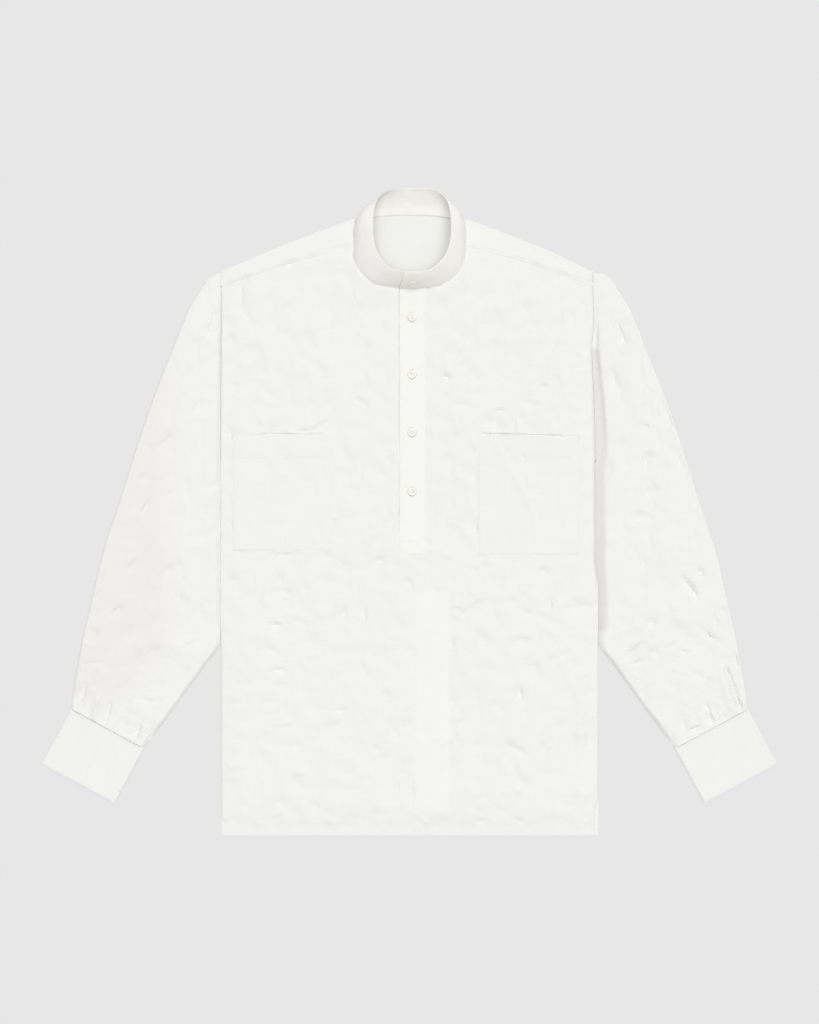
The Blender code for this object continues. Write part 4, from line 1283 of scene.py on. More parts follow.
    def build_back(self) -> bpy.types.Object:
        """Back panel below the yoke, lying on the table.

        Returns:
            The piece.
        """
        levels = np.arange(PATTERN.hem_y, PATTERN.back_seam_y, 0.0060)
        levels = np.append(levels[:-1], PATTERN.back_seam_y - self.seam_gap / 2)
        shares = np.linspace(-1.0, 1.0, 86)
        y = np.repeat(levels[:, None], len(shares), axis=1)
        edge = np.where(shares[None, :] > 0, PATTERN.side_x(1, y), PATTERN.side_x(-1, y))
        x = shares[None, :] * edge
        flat_x = x.ravel()
        flat_y = y.ravel()
        lift = 0.00022 * (1.0 + soft_noise(flat_x, flat_y, 0.024, 31))
        z = (0.00075 + np.clip(lift, 0.0, 0.0005)).reshape(x.shape)
        points = np.stack([x, y, z], -1)
        back = Cloth(points, points[:, :, :2]).build("back_linen", self.finishes.linen, self.wall)
        put(back, Slot.LINEN, "back")
        return back

    def build_yoke(self) -> bpy.types.Object:
        """Yoke: one layer across the back, folded over each shoulder to the front seam.

        Returns:
            The piece.
        """
        end = PATTERN.half_width + 0.0004
        over_from = 0.0722
        outer = np.linspace(end, over_from, 58)
        middle = np.linspace(over_from, 0.0, 26)[1:]
        half = np.concatenate([outer, middle])
        columns = np.concatenate([-half, half[::-1][1:]])
        back_shares = np.linspace(0.0, 1.0, 15)
        fold_steps = 10
        top_shares = np.linspace(0.0, 1.0, 18)
        over = np.abs(columns) >= over_from - 1e-6
        toward_end = ease((np.abs(columns) - end + 0.008) / 0.008)
        top = self.shoulder_top - (self.shoulder_top - 0.0036) * toward_end
        start = PATTERN.back_seam_y + self.seam_gap / 2
        shoulder = PATTERN.shoulder_y(columns) - PATTERN.fold_reach
        stop = np.where(over, shoulder, PATTERN.neck_back_y(columns))
        seam = PATTERN.yoke_seam_y(columns) - 0.0006
        rows_y = [start + share * (stop - start) for share in back_shares]
        rows_z = [0.0002 + 0.0012 * ease((share - 0.8) / 0.2) * ~over for share in back_shares]
        for step in range(1, fold_steps):
            angle = math.pi * (step / fold_steps - 0.5)
            rows_y.append(stop + PATTERN.fold_reach * math.cos(angle))
            rows_z.append(0.5 * top * (1.0 + math.sin(angle)))
        creases = YOKE_CREASES + Creasing(seed=17, lift=0.0007).scatter((-0.25, 0.27), (0.25, 0.40))
        for share in top_shares:
            row_y = stop + share * (seam - stop)
            sewn = ease((share - 0.60) / 0.40)
            surface = self.upper.base(columns, row_y)
            held = math.sin(0.5 * math.pi * min(share / 0.85, 1.0)) * (1.0 - toward_end * (1.0 - sewn))
            fine = folded(creases, columns, row_y) + 0.0003 * soft_noise(columns, row_y, 0.014, 3)
            fine = fine * ease(share * 12.0) + 0.0004 * math.exp(-((0.75 - share) / 0.20) ** 2)
            fine = fine * (1.0 - sewn) + (self.upper.fine(columns, row_y) + 0.00015) * sewn
            rows_y.append(row_y)
            rows_z.append(top + (surface - top) * held + fine * held)
        y = np.array(rows_y)
        z = np.array(rows_z)
        x = np.repeat(columns[None, :], len(y), axis=0)
        side_pull = np.where(x > 0, PATTERN.side_x(1, y), PATTERN.side_x(-1, y)) - PATTERN.half_width
        x = x + np.sign(x) * side_pull * ease((np.abs(x) - 0.17) / 0.08)
        kept_middle = len(back_shares) - 1
        cell_over = over[:-1] & over[1:] & (columns[:-1] * columns[1:] > 0)
        keep = np.zeros((len(y) - 1, len(columns) - 1), bool)
        keep[:kept_middle] = True
        keep[kept_middle:] = cell_over[None, :]
        steps = np.hypot(np.diff(y, axis=0), np.diff(z, axis=0))[:, over].mean(axis=1)
        along = np.concatenate([[0.0], np.cumsum(steps)])
        coords = np.stack([x, np.repeat(along[:, None], len(columns), 1)], -1)
        points = np.stack([x, y, z], -1)
        yoke = Cloth(points, coords, keep, flip=True).build("yoke_linen", self.finishes.linen, self.wall)
        put(yoke, Slot.LINEN, "yoke")
        return yoke


@dataclass(frozen=True)
class Loop:
    """Half a rounded outline from centre front to centre back, read by its share of the length."""

    half_width: float
    middle_y: float
    depth_front: float
    depth_back: float
    round_front: float
    round_back: float

    def outline(self) -> tuple[np.ndarray, np.ndarray]:
        """Dense points of the half, and the length up to each.

        Returns:
            The points and the lengths.
        """
        angle = math.pi * np.arange(361) / 360
        front = angle < 0.5 * math.pi
        power = 2.0 / np.where(front, self.round_front, self.round_back)
        depth = np.where(front, self.depth_front, self.depth_back)
        reach = np.abs(np.cos(angle)) ** power * depth
        x = self.half_width * np.sin(angle) ** power
        y = np.where(front, self.middle_y - reach, self.middle_y + reach)
        points = np.stack([x, y], -1)
        steps = np.hypot(*np.diff(points, axis=0).T)
        return points, np.concatenate([[0.0], np.cumsum(steps)])

    def at(self, share: np.ndarray) -> np.ndarray:
        """Points at shares of the way, 0 to 1 on the right side and 1 to 2 back on the left.

        Args:
            share: the shares.

        Returns:
            The points.
        """
        points, length = self.outline()
        turn = np.mod(share, 2.0)
        place = np.where(turn > 1.0, 2.0 - turn, turn) * length[-1]
        x = np.interp(place, length, points[:, 0])
        y = np.interp(place, length, points[:, 1])
        return np.stack([np.where(turn > 1.0, -x, x), y], -1)


@dataclass
class StandingBand:
    """The standing collar: one strip round the neck whose ends lap at centre front."""

    finishes: Finishes
    neck: Loop = Loop(0.0755, 0.3480, 0.0525, 0.0500, 2.6, 4.0)
    rim: Loop = Loop(0.0515, 0.3738, 0.0572, 0.0572, 2.2, 3.4)
    rim_middle_x: float = 0.0033
    rim_lag: float = 0.020
    lap_over: float = 0.0140
    lap_under: float = 0.0220
    lap_step: float = 0.0018
    wall: float = 0.0012
    columns: int = 236
    rows: int = 20
    sink: float = 0.0022
    depth: float = 0.036
    leaning_depth: float = 0.028
    stitch_low: float = 0.06
    stitch_high: float = 0.90
    stitch_end: float = 0.0025

    def half_length(self) -> float:
        """Length of half the neck seam."""
        return float(self.neck.outline()[1][-1])

    def at(self, share: np.ndarray, rise: np.ndarray, inset: np.ndarray | float = 0.0) -> tuple:
        """Points of the band's outer face and their outward directions.

        Args:
            share: place round the neck, 0 at centre front and 1 at centre back.
            rise: height up the band, 0 at the neck seam and 1 at the rim.
            inset: how far a point is moved inwards.

        Returns:
            The points and the outward directions.
        """
        turn = np.mod(share, 2.0)
        half = np.where(turn > 1.0, 2.0 - turn, turn)
        foot_z, rim_z, swell = smooth_rows(BAND_STATIONS[:, 0], BAND_STATIONS[:, 1:], half).T
        foot = np.concatenate([self.neck.at(turn), foot_z[:, None]], 1)
        rim = np.concatenate([self.rim.at(turn - self.rim_lag * np.sin(math.pi * turn)), rim_z[:, None]], 1)
        rim[:, 0] += self.rim_middle_x
        tangent = self.neck.at(turn + 0.01) - self.neck.at(turn - 0.01)
        tangent = tangent / np.linalg.norm(tangent, axis=1, keepdims=True)
        tangent = np.concatenate([tangent, np.zeros((len(tangent), 1))], 1)
        chord = rim - foot
        outward = np.cross(tangent, chord)
        outward /= np.linalg.norm(outward, axis=1, keepdims=True)
        inward = np.stack([-tangent[:, 1], tangent[:, 0], np.zeros(len(tangent))], 1)
        bulge = 4.0 * rise * (1.0 - rise) * swell
        point = foot + chord * rise[:, None] + outward * bulge[:, None] + inward * np.reshape(inset, (-1, 1))
        return point, outward

    def lap_inset(self, share: np.ndarray) -> np.ndarray:
        """How far the under end steps in beneath the over end.

        Args:
            share: place round the neck.

        Returns:
            The distances.
        """
        half = self.half_length()
        lap_from = 2.0 - (self.lap_over + 0.030) / half
        lap_full = 2.0 - (self.lap_over + 0.004) / half
        return self.lap_step * ease((share - lap_from) / (lap_full - lap_from))

    def build(self) -> bpy.types.Object:
        """Make the band and its stitching.

        Returns:
            The band.
        """
        half = self.half_length()
        start = -self.lap_over / half
        stop = 2.0 + self.lap_under / half
        share = np.linspace(start, stop, self.columns)
        low = -self.sink / self.leaning_depth
        rises = np.linspace(low, 1.0, self.rows)
        grid_share = np.repeat(share[None, :], self.rows, 0).ravel()
        grid_rise = np.repeat(rises[:, None], self.columns, 1).ravel()
        points, outward = self.at(grid_share, grid_rise, self.lap_inset(grid_share))
        along = grid_share * half
        up = grid_rise * self.depth
        creases = Creasing(seed=23, per_square_metre=1300, long=0.026, lift=0.0007).scatter(
            (start * half, 0.0), (stop * half, self.depth))
        calm = inside(grid_rise, 0.08, 0.92, 0.16)
        ripple = (folded(creases, along, up) + 0.00045 * soft_noise(along, up, 0.013, 9)
                  + 0.0007 * soft_noise(along, up, 0.030, 10)) * (0.25 + 0.75 * calm)
        lower = inside(grid_rise, -0.2, 0.10, 0.10)
        points += outward * (ripple - 0.0004 * lower)[:, None]
        shape = (self.rows, self.columns)
        coords = np.stack([along, up], -1).reshape(*shape, 2)
        cloth = Cloth(points.reshape(*shape, 3), coords)
        band = cloth.build("band_linen", self.finishes.band, self.wall)
        put(band, Slot.BAND, "collar_band")
        thread = Thread()
        first = start + self.stitch_end / half
        for level in (self.stitch_low, self.stitch_high):
            run = np.linspace(first, stop - 0.003 / half, 420)
            spots, out = self.at(run, np.full_like(run, level), self.lap_inset(run))
            thread.sew(spots + out * 0.0002, out)
        rise = np.linspace(self.stitch_low, self.stitch_high, 20)
        spots, out = self.at(np.full_like(rise, first), rise)
        thread.sew(spots + out * 0.0002, out)
        put(thread.build("band_thread", self.finishes.thread), Slot.BAND)
        return band


@dataclass
class Placket:
    """The upper strip over the slit, the strip under it, and the buttonholes."""

    upper: UpperCloth
    finishes: Finishes
    left: float = -0.0135
    right: float = 0.0220
    floor_y: float = PLACKET_FLOOR_Y
    under_left: float = -0.0200
    under_right: float = 0.0140
    wall: float = 0.0009
    under_wall: float = 0.0006
    under_drop: float = 0.0041
    stand: float = 0.0001
    rise: float = 0.0005
    gape: float = 0.0005
    inset: float = 0.0024
    box_top_y: float = -0.0385
    button_x: float = 0.0034
    button_ys: tuple[float, ...] = (0.2593, 0.1833, 0.1060, 0.0273)

    def top(self, x: np.ndarray, y: np.ndarray) -> np.ndarray:
        """Height of the strip's upper face.

        Args:
            x: the points' x.
            y: the points' y.

        Returns:
            The heights.
        """
        ripple = 0.00022 * soft_noise(x, y, 0.011, 51) + 0.00035 * soft_noise(x, y, 0.028, 52)
        shy = np.min([np.abs(y - place) for place in self.button_ys], axis=0)
        between = ease(shy / 0.030) * ease((y + 0.015) / 0.03) * (1.0 - inside(y, 0.046, 0.098, 0.02))
        edge = ease((self.left + 0.009 - x) / 0.009)
        pressed = np.exp(-((x - self.left - self.inset) / 0.0012) ** 2)
        pressed += np.exp(-((x - self.right + self.inset) / 0.0012) ** 2)
        flush = ease((self.right + 0.0004 - x) / 0.0034) * ease((y - self.floor_y + 0.0004) / 0.0034)
        crown = self.stand + self.rise * flush + ripple + self.gape * between * edge - 0.00012 * pressed
        return self.upper.base(x, y) + crown

    def build(self) -> bpy.types.Object:
        """Make both strips, their stitching and the buttonholes.

        Returns:
            The upper strip.
        """
        across = np.linspace(self.left, self.right, 26)
        share = np.linspace(0.0, 1.0, 250)
        tops = np.where(np.abs(across) < 0.07, PATTERN.neck_front_y(across), 0.0) + 0.001
        y = self.floor_y + share[:, None] * (tops[None, :] - self.floor_y)
        waver = 0.0004 * soft_noise(y[:, :1], y[:, :1] * 0.0, 0.045, 53)
        x = across[None, :] + waver
        z = self.top(x.ravel(), y.ravel()).reshape(x.shape)
        points = np.stack([x, y, z], -1)
        strip = Cloth(points, points[:, :, :2]).build("placket_linen", self.finishes.trim, self.wall)
        put(strip, Slot.TRIM, "placket")
        across = np.linspace(self.under_left, self.under_right, 12)
        tops = PATTERN.neck_front_y(across)
        y = self.floor_y + np.linspace(0.0, 1.0, 90)[:, None] * (tops[None, :] - self.floor_y)
        x = np.repeat(across[None, :], len(y), 0)
        z = self.upper.base(x.ravel(), y.ravel()).reshape(x.shape) - self.under_drop
        points = np.stack([x, y, np.maximum(z, LEAST_TOP)], -1)
        cloth = Cloth(points, points[:, :, :2])
        under = cloth.build("placket_under_linen", self.finishes.trim, self.under_wall)
        put(under, Slot.TRIM, "placket_under")
        thread = Thread()
        for edge in (self.left + self.inset, self.right - self.inset):
            run = np.linspace(self.floor_y + self.inset, 0.2945, 300)
            self.sew(thread, np.full_like(run, edge), run)
        for level in (self.floor_y + self.inset, self.box_top_y):
            run = np.linspace(self.left + self.inset, self.right - self.inset, 30)
            self.sew(thread, run, np.full_like(run, level))
        for place in self.button_ys:
            self.sew_buttonhole(thread, place)
        put(thread.build("placket_thread", self.finishes.thread), Slot.TRIM)
        return strip

    def sew(self, thread: Thread, x: np.ndarray, y: np.ndarray) -> None:
        """Sew along a line of the strip's face."""
        thread.sew(np.stack([x, y, self.top(x, y) + 0.0001], -1))

    def sew_buttonhole(self, thread: Thread, place: float) -> None:
        """Sew a buttonhole's two rows of close short stitches.

        Args:
            thread: the thread to add to.
            place: the y of the button.
        """
        half = 0.0072
        for side in (-1.0, 1.0):
            for y in np.arange(place - half, place + half, 0.00055):
                reach = np.array((self.button_x + side * 0.0003, self.button_x + side * 0.0017))
                level = np.full_like(reach, y)
                path = np.stack([reach, level, self.top(reach, level) + 0.0001], -1)
                shares = np.linspace(0.0, 1.0, STITCH_POINTS)
                spine = path[0] + shares[:, None] * (path[1] - path[0])
                out = np.tile(UPWARDS, (STITCH_POINTS, 1))
                thread.stitches.append((spine + out * 0.00015, out))


@dataclass
class Buttons:
    """Turned shell-like buttons with four sewing holes and crossed thread."""

    placket: Placket
    band: StandingBand
    finishes: Finishes
    radius: float = 0.00575
    thick: float = 0.0021
    hole_radius: float = 0.00072
    hole_step: float = 0.00140
    around: int = 96
    lift: float = 0.0004
    collar_rise: float = 0.46
    bevel: float = 0.0008

    def mesh(self) -> bpy.types.Mesh:
        """One button's mesh, its back at z = 0.

        Returns:
            The mesh.
        """
        bevel = self.bevel * (1.0 - np.sin(np.linspace(0.15, 1.0, 6) * math.pi / 2))
        radii = np.concatenate([np.linspace(0.0002, self.radius - self.bevel, 30), self.radius - bevel])
        angle = 2.0 * math.pi * np.arange(self.around) / self.around
        x = radii[:, None] * np.cos(angle)[None, :]
        y = radii[:, None] * np.sin(angle)[None, :]
        share = radii[:, None] / self.radius
        well = 0.0018 + 0.0004 * ease((share - 0.50) / 0.14)
        rim = self.thick * np.sqrt(np.clip(1.0 - ((share - 0.78) / 0.23).clip(0.0) ** 4, 0.12, 1.0))
        top = np.minimum(well, rim) + 0.0 * x
        for step_x in (-1, 1):
            for step_y in (-1, 1):
                away = np.hypot(x - step_x * self.hole_step, y - step_y * self.hole_step)
                top -= 0.0008 * ease((self.hole_radius + 0.00012 - away) / 0.00024)
        rings = [np.stack([x, y, top], -1)]
        for shrink, z in ((0.0, 0.0009), (0.0006, 0.00025), (0.0014, 0.0)):
            radius = self.radius - shrink
            ring = np.stack([radius * np.cos(angle), radius * np.sin(angle), np.full_like(angle, z)], -1)
            rings.append(ring[None])
        points = np.concatenate(rings)
        rows = len(points)
        number = np.arange(rows * self.around).reshape(rows, self.around)
        turned = np.roll(number, -1, axis=1)
        faces = np.stack([number[:-1], number[1:], turned[1:], turned[:-1]], -1).reshape(-1, 4).tolist()
        faces.append(number[0].tolist())
        faces.append(number[-1][::-1].tolist())
        mesh = bpy.data.meshes.new("button")
        mesh.from_pydata(points.reshape(-1, 3).tolist(), [], faces)
        mesh.update()
        mesh.shade_smooth()
        mesh.materials.append(self.finishes.button)
        return mesh

    def thread_cross(self, name: str) -> bpy.types.Object:
        """The crossed thread through one button's holes.

        Args:
            name: the piece's name.

        Returns:
            The mesh object, around the button's own origin.
        """
        thread = Thread(radius=0.00026, sides=6)
        shares = np.linspace(0.0, 1.0, STITCH_POINTS)
        for side in (-1.0, 1.0):
            for offset in (-0.00018, 0.00018):
                reach = self.hole_step * (2.0 * shares - 1.0)
                spine = np.stack([reach + offset * side, side * reach + offset,
                                  0.0018 + 0.0003 * side * 0.5 + 0.00035 * np.sin(math.pi * shares)], -1)
                thread.stitches.append((spine, np.tile(UPWARDS, (STITCH_POINTS, 1))))
        return thread.build(name, self.finishes.thread)

    def build(self) -> None:
        """Make all five buttons."""
        mesh = self.mesh()
        for number, y in enumerate(self.placket.button_ys, start=1):
            spot = np.array((self.placket.button_x,))
            height = float(self.placket.top(spot, np.array((y,)))[0]) + self.lift
            tilt = 0.05 * math.sin(2.3 * number)
            self.place(mesh, f"button_{number}", Vector((self.placket.button_x, y, height)),
                       Vector((tilt, -0.6 * tilt, 1.0)), 0.4 * number)
        share = np.array((self.placket.button_x / self.band.half_length(),))
        spot, out = self.band.at(share, np.array((self.collar_rise,)))
        normal = Vector(out[0].tolist())
        self.place(mesh, "button_collar", Vector(spot[0].tolist()) + normal * self.lift, normal, 0.2)

    def place(self, mesh: bpy.types.Mesh, node: str, spot: Vector, normal: Vector, turn: float) -> None:
        """Put one button and its thread on the cloth.

        Args:
            mesh: the button's mesh.
            node: the solid that it replaces.
            spot: where its back lies.
            normal: the cloth's outward direction.
            turn: how far it is turned, in radians.
        """
        button = link(node + "_shell", mesh)
        cross = self.thread_cross(node + "_thread")
        facing = normal.normalized().to_track_quat("Z", "Y").to_matrix().to_4x4()
        spin = Matrix.Rotation(turn, 4, "Z")
        for obj in (button, cross):
            obj.matrix_world = Matrix.Translation(spot) @ facing @ spin
        put(button, Slot.BUTTON, node)
        put(cross, Slot.BUTTON)


@dataclass
class ChestPocket:
    """A patch pocket, a little open at its mouth."""

    side: str
    outer_x: float
    inner_x: float
    floor_y: float
    upper: UpperCloth
    finishes: Finishes
    own_creases: list[Fold]
    seed: int
    mouth_y: float = POCKET_MOUTH_Y
    mouth_slope: float = 0.0
    hem_depth: float = 0.0300
    gape: float = 0.0019
    gape_middle: float = 0.5
    gape_reach: float = 0.0450
    stand: float = 0.0001
    rise: float = 0.0003
    wall: float = 0.0005
    inset: float = 0.0020

    def bounds(self) -> tuple[float, float]:
        """Lowest and highest x."""
        return min(self.outer_x, self.inner_x), max(self.outer_x, self.inner_x)

    def top(self, x: np.ndarray, y: np.ndarray) -> np.ndarray:
        """Height of the pocket's upper face.

        Args:
            x: the points' x.
            y: the points' y.

        Returns:
            The heights.
        """
        low, high = self.bounds()
        middle = low + self.gape_middle * (high - low)
        across = 1.0 - ease(np.abs(x - middle) / np.where(x > middle, high - middle, middle - low))
        up = ease(1.0 - (self.mouth_y - y) / self.gape_reach)
        waver = 1.0 + 0.6 * soft_noise(x, y * 0.0, 0.045, self.seed)
        free = inside(x, low, high, 0.012) * ease((y - self.floor_y) / 0.012)
        creases = self.own_creases + Creasing(seed=self.seed, per_square_metre=500, lift=0.0006).scatter(
            (low, self.floor_y), (high, self.mouth_y))
        fine = folded(creases, x, y) + 0.0004 * soft_noise(x, y, 0.018, self.seed + 1)
        facing = 0.0002 * ease((y - self.mouth_y + self.hem_depth) / 0.003)
        edge = np.minimum.reduce([x - low, high - x, y - self.floor_y])
        flush = ease((edge + 0.0004) / 0.0040)
        height = self.stand + self.rise * flush + self.gape * across * up * waver + facing
        return self.upper.base(x, y) + height + fine * free

    def build(self) -> bpy.types.Object:
        """Make the pocket and its stitching.

        Returns:
            The pocket.
        """
        low, high = self.bounds()
        columns = np.linspace(low, high, 70)
        share = np.linspace(0.0, 1.0, 80)
        slope = self.mouth_slope * (columns - low) / (high - low)
        mouth = self.mouth_y + slope
        y = self.floor_y + share[:, None] * (mouth[None, :] - self.floor_y)
        x = np.repeat(columns[None, :], len(y), 0)
        edge_waver = 0.0005 * soft_noise(y, x * 0.0, 0.030, self.seed + 2)
        x = x + edge_waver * (2.0 * (x - low) / (high - low) - 1.0)
        z = self.top(x.ravel(), y.ravel()).reshape(x.shape)
        points = np.stack([x, y, z], -1)
        name = f"pocket_{self.side}_linen"
        pocket = Cloth(points, points[:, :, :2]).build(name, self.finishes.pressed, self.wall)
        put(pocket, Slot.TRIM, f"pocket_{self.side}")
        thread = Thread()
        left = low + self.inset
        right = high - self.inset
        top = self.mouth_y - 0.001
        floor = self.floor_y + self.inset
        inner = np.array([(left, top), (left, floor), (right, floor), (right, top)])
        for first, second in zip(inner[:-1], inner[1:]):
            self.sew(thread, first, second)
        hem_y = self.mouth_y - self.hem_depth
        self.sew(thread, np.array((left, hem_y)), np.array((right, hem_y)))
        put(thread.build(f"pocket_{self.side}_thread", self.finishes.thread), Slot.TRIM)
        return pocket

    def sew(self, thread: Thread, first: np.ndarray, second: np.ndarray) -> None:
        """Sew from one point of the pocket's plan to another.

        Args:
            thread: the thread to add to.
            first: the first point.
            second: the second point.
        """
        run = np.linspace(0.0, 1.0, 90)[:, None]
        line = first + run * (second - first)
        height = self.top(line[:, 0], line[:, 1]) + 0.0001
        thread.sew(np.concatenate([line, height[:, None]], 1))


@dataclass
class Sleeve:
    """One sleeve with its cuff: an open head along the armhole, then a closed flat tube."""

    side: int
    creases: list[Fold]
    finishes: Finishes
    seed: int
    top: float = 0.0080
    narrow_top: float = 0.0042
    dip_scale: float = 1.0
    dip_least: float = 0.0020
    floor_share: float = 0.50
    crease_gain: float = 2.6
    least_reach: float = 0.0034
    rows: int = 226
    closed_share: float = 0.445
    wall: float = 0.0007
    cuff_top: float = 0.0054
    cuff_wall: float = 0.0011
    set_in: float = 0.0009
    seam_clear: float = 0.0003
    loose_soft: float = 0.025
    head_rows: float = 0.11
    head_height: float = 0.25
    cuff_stitch: float = 0.0022

    def word(self) -> str:
        """The side's name, as the photo shows it."""
        return "right" if self.side > 0 else "left"

    def section(self, width: float, top: float, dip: float, inner_y: float, draw: float) -> tuple:
        """Outer face across a flattened sleeve.

        Args:
            width: the sleeve's width there.
            top: height of its upper face.
            dip: width of the valley beside the body.
            inner_y: the y of the section's end by the body.
            draw: how far its upper cloth reaches over the seam.

        Returns:
            Place across, height, and share of the upper cloth's folds, for each column.
        """
        reach = width - PATTERN.fold_reach
        low = np.linspace(0.0, 1.0, 30)[:-1] * reach
        angle = math.pi * (np.linspace(0.0, 1.0, 11) - 0.5)
        fold_x = reach + PATTERN.fold_reach * np.cos(angle)
        fold_z = 0.5 * top * (1.0 + np.sin(angle))
        dip_share = min(dip / reach, 1.0)
        shares = np.concatenate([np.linspace(1.0, dip_share, 54)[1:], np.linspace(dip_share, 0.0, 8)[1:]])
        loose = 1.0 if self.side < 0 else float(ease((PATTERN.armhole_floor_y - inner_y) / self.loose_soft))
        head = float(ease((inner_y - PATTERN.head_from_y) / PATTERN.head_soft))
        floor_share = self.floor_share * (1.0 - head) * (1.0 - loose)
        climb = np.maximum((np.minimum(shares / dip_share, 1.0) - floor_share) / (1.0 - floor_share), 0.0)
        rise = ease(climb) * (1.0 - loose) + np.sin(0.5 * math.pi * climb) * loose
        valley = float(PATTERN.valley_z(self.side, np.array(inner_y)))
        upper_x = shares * reach - draw * (1.0 - ease(shares * reach / 0.008))
        place = np.concatenate([low, fold_x, upper_x])
        height = np.concatenate([np.zeros_like(low), fold_z, valley + (top - valley) * rise])
        over = np.concatenate([np.zeros_like(low), np.zeros_like(fold_x), rise])
        return place, height, over

    def stations(self) -> np.ndarray:
        """Rows across the sleeve, the last one set into the cuff.

        Returns:
            The table.
        """
        seam_in = PATTERN.cuff_point(1, np.array(self.set_in), np.array(self.set_in))
        seam_out = PATTERN.cuff_point(1, np.array(PATTERN.cuff_width - self.set_in), np.array(self.set_in))
        last = (float(seam_in[0]) - PATTERN.half_width - self.seam_clear, float(seam_in[1]),
                float(seam_out[0]), float(seam_out[1]), PATTERN.fold_reach)
        return np.vstack([SLEEVE_ROWS, last])

    def all_creases(self) -> list[Fold]:
        """The listed creases, the scattered ones and the gathers, as on the right side.

        Returns:
            The creases.
        """
        placed = [Fold((abs(fold.start[0]), fold.start[1]), (abs(fold.end[0]), fold.end[1]), fold.reach,
                       fold.lift, fold.form, fold.bow).stronger(self.crease_gain, self.least_reach)
                  for fold in self.creases]
        creasing = Creasing(seed=self.seed, per_square_metre=1400, narrow=0.0028, lift=0.0028)
        return placed + creasing.scatter((0.24, -0.32), (0.46, 0.32)) + self.gathers()

    def build_sleeve(self) -> bpy.types.Object:
        """Make the sleeve.

        Returns:
            The piece.
        """
        table = self.stations()
        places = np.linspace(0.0, len(table) - 1, self.rows)
        values = smooth_rows(np.arange(len(table)), table, places)
        x_rows, y_rows, z_rows, over_rows, coord_rows = [], [], [], [], []
        along = 0.0
        previous = None
        for place, (out, inner_y, outer_x, outer_y, dip) in zip(places, values):
            seam_x = float(PATTERN.side_x(self.side, np.array(inner_y))) + self.seam_clear
            inner = np.array((seam_x + max(out, 0.0), inner_y))
            outer = np.array((outer_x, outer_y))
            noise = soft_noise(np.array((outer_y,)), np.array((0.0,)), 0.022, self.seed + 3)
            waver = 0.0008 * float(noise[0])
            width = float(np.hypot(*(outer - inner))) - abs(waver)
            widen = float(ease((width - 0.006) / 0.050))
            top = self.narrow_top + (self.top - self.narrow_top) * widen
            direction = (outer - inner) / np.hypot(*(outer - inner))
            draw = float(PATTERN.valley_draw(self.side, np.array(inner_y))) / max(float(direction[0]), 0.4)
            dip = dip * self.dip_scale + self.dip_least
            across, height, over = self.section(width, top, dip, float(inner_y), draw)
            opened = float(ease(place / self.head_rows))
            height = height * (self.head_height + (1.0 - self.head_height) * opened)
            spots = inner + across[:, None] * direction
            calm = ease((len(table) - 1 - place) / 0.15) * ease((width - across) / 0.006)
            middle = 0.5 * (inner + outer)
            along += 0.0 if previous is None else float(np.hypot(*(middle - previous)))
            previous = middle
            x_rows.append(spots[:, 0])
            y_rows.append(spots[:, 1])
            z_rows.append(height)
            over_rows.append(over * calm)
            girth = length_along(across, height)
            coord_rows.append(np.stack([girth[-1] - girth, np.full_like(girth, along)], -1))
        x = np.array(x_rows)
        y = np.array(y_rows)
        z = np.array(z_rows)
        over = np.array(over_rows)
        fine = folded(self.all_creases(), x.ravel(), y.ravel()).reshape(x.shape)
        fine += (0.0006 * soft_noise(x, y, 0.014, self.seed + 4)
                 + 0.0004 * soft_noise(x, y, 0.007, self.seed + 5)
                 + 0.0011 * soft_noise(x, y, 0.060, self.seed + 6))
        z = np.maximum(z + fine * over, np.where(over > 0.0, 0.0018, 0.0))
        coords = np.array(coord_rows)
        closing = coords[:, -1:].copy()
        closing[:, :, 0] -= 0.003
        coords = np.concatenate([coords, closing], axis=1)
        points = np.stack([self.side * x, y, z + 0.0002], -1)
        grid = Cloth(points, coords, closed_from=int(self.closed_share * self.rows), flip=self.side < 0)
        finish = self.finishes.sleeve_right if self.side > 0 else self.finishes.sleeve_left
        sleeve = grid.build(f"sleeve_{self.word()}_linen", finish, self.wall)
        put(sleeve, Slot.LINEN, f"sleeve_{self.word()}")
        return sleeve

    def gathers(self) -> list[Fold]:
        """Pleats and small gathers that run up from the cuff seam.

        Returns:
            The folds, on the right side.
        """
        rng = np.random.default_rng(self.seed + 40)
        made = []
        for along in np.arange(0.006, PATTERN.cuff_width - 0.004, 0.0075):
            spot = along + rng.uniform(-0.002, 0.002)
            length = rng.uniform(0.010, 0.038)
            lean = rng.uniform(-0.25, 0.25)
            foot = PATTERN.cuff_point(1, np.array(spot), np.array(-0.001))
            head = PATTERN.cuff_point(1, np.array(spot + lean * length), np.array(-length))
            reach = rng.uniform(0.0018, 0.0032)
            lift = rng.uniform(0.5, 1.0) * rng.choice((-0.0013, 0.0011))
            made.append(Fold((float(foot[0]), float(foot[1])), (float(head[0]), float(head[1])), reach, lift,
                             FoldForm.LAP))
        return made

    def cuff_height(self, along: np.ndarray, down: np.ndarray) -> np.ndarray:
        """Height of the cuff's upper face.

        Args:
            along: distances along the seam.
            down: distances from the seam.

        Returns:
            The heights.
        """
        plan = soft_noise(along, down, 0.013, self.seed + 7) * 0.00012
        plan += soft_noise(along, down, 0.035, self.seed + 8) * 0.0004
        creases = Creasing(seed=self.seed + 9, per_square_metre=900, lift=0.00025, long=0.025).scatter(
            (0.0, 0.0), (PATTERN.cuff_width, PATTERN.cuff_depth))
        edge = np.minimum.reduce([along, PATTERN.cuff_width - along, down, PATTERN.cuff_depth - down])
        pressed = 0.0002 * np.exp(-((edge - self.cuff_stitch) / 0.0012) ** 2)
        return self.cuff_top + plan + folded(creases, along, down) - pressed

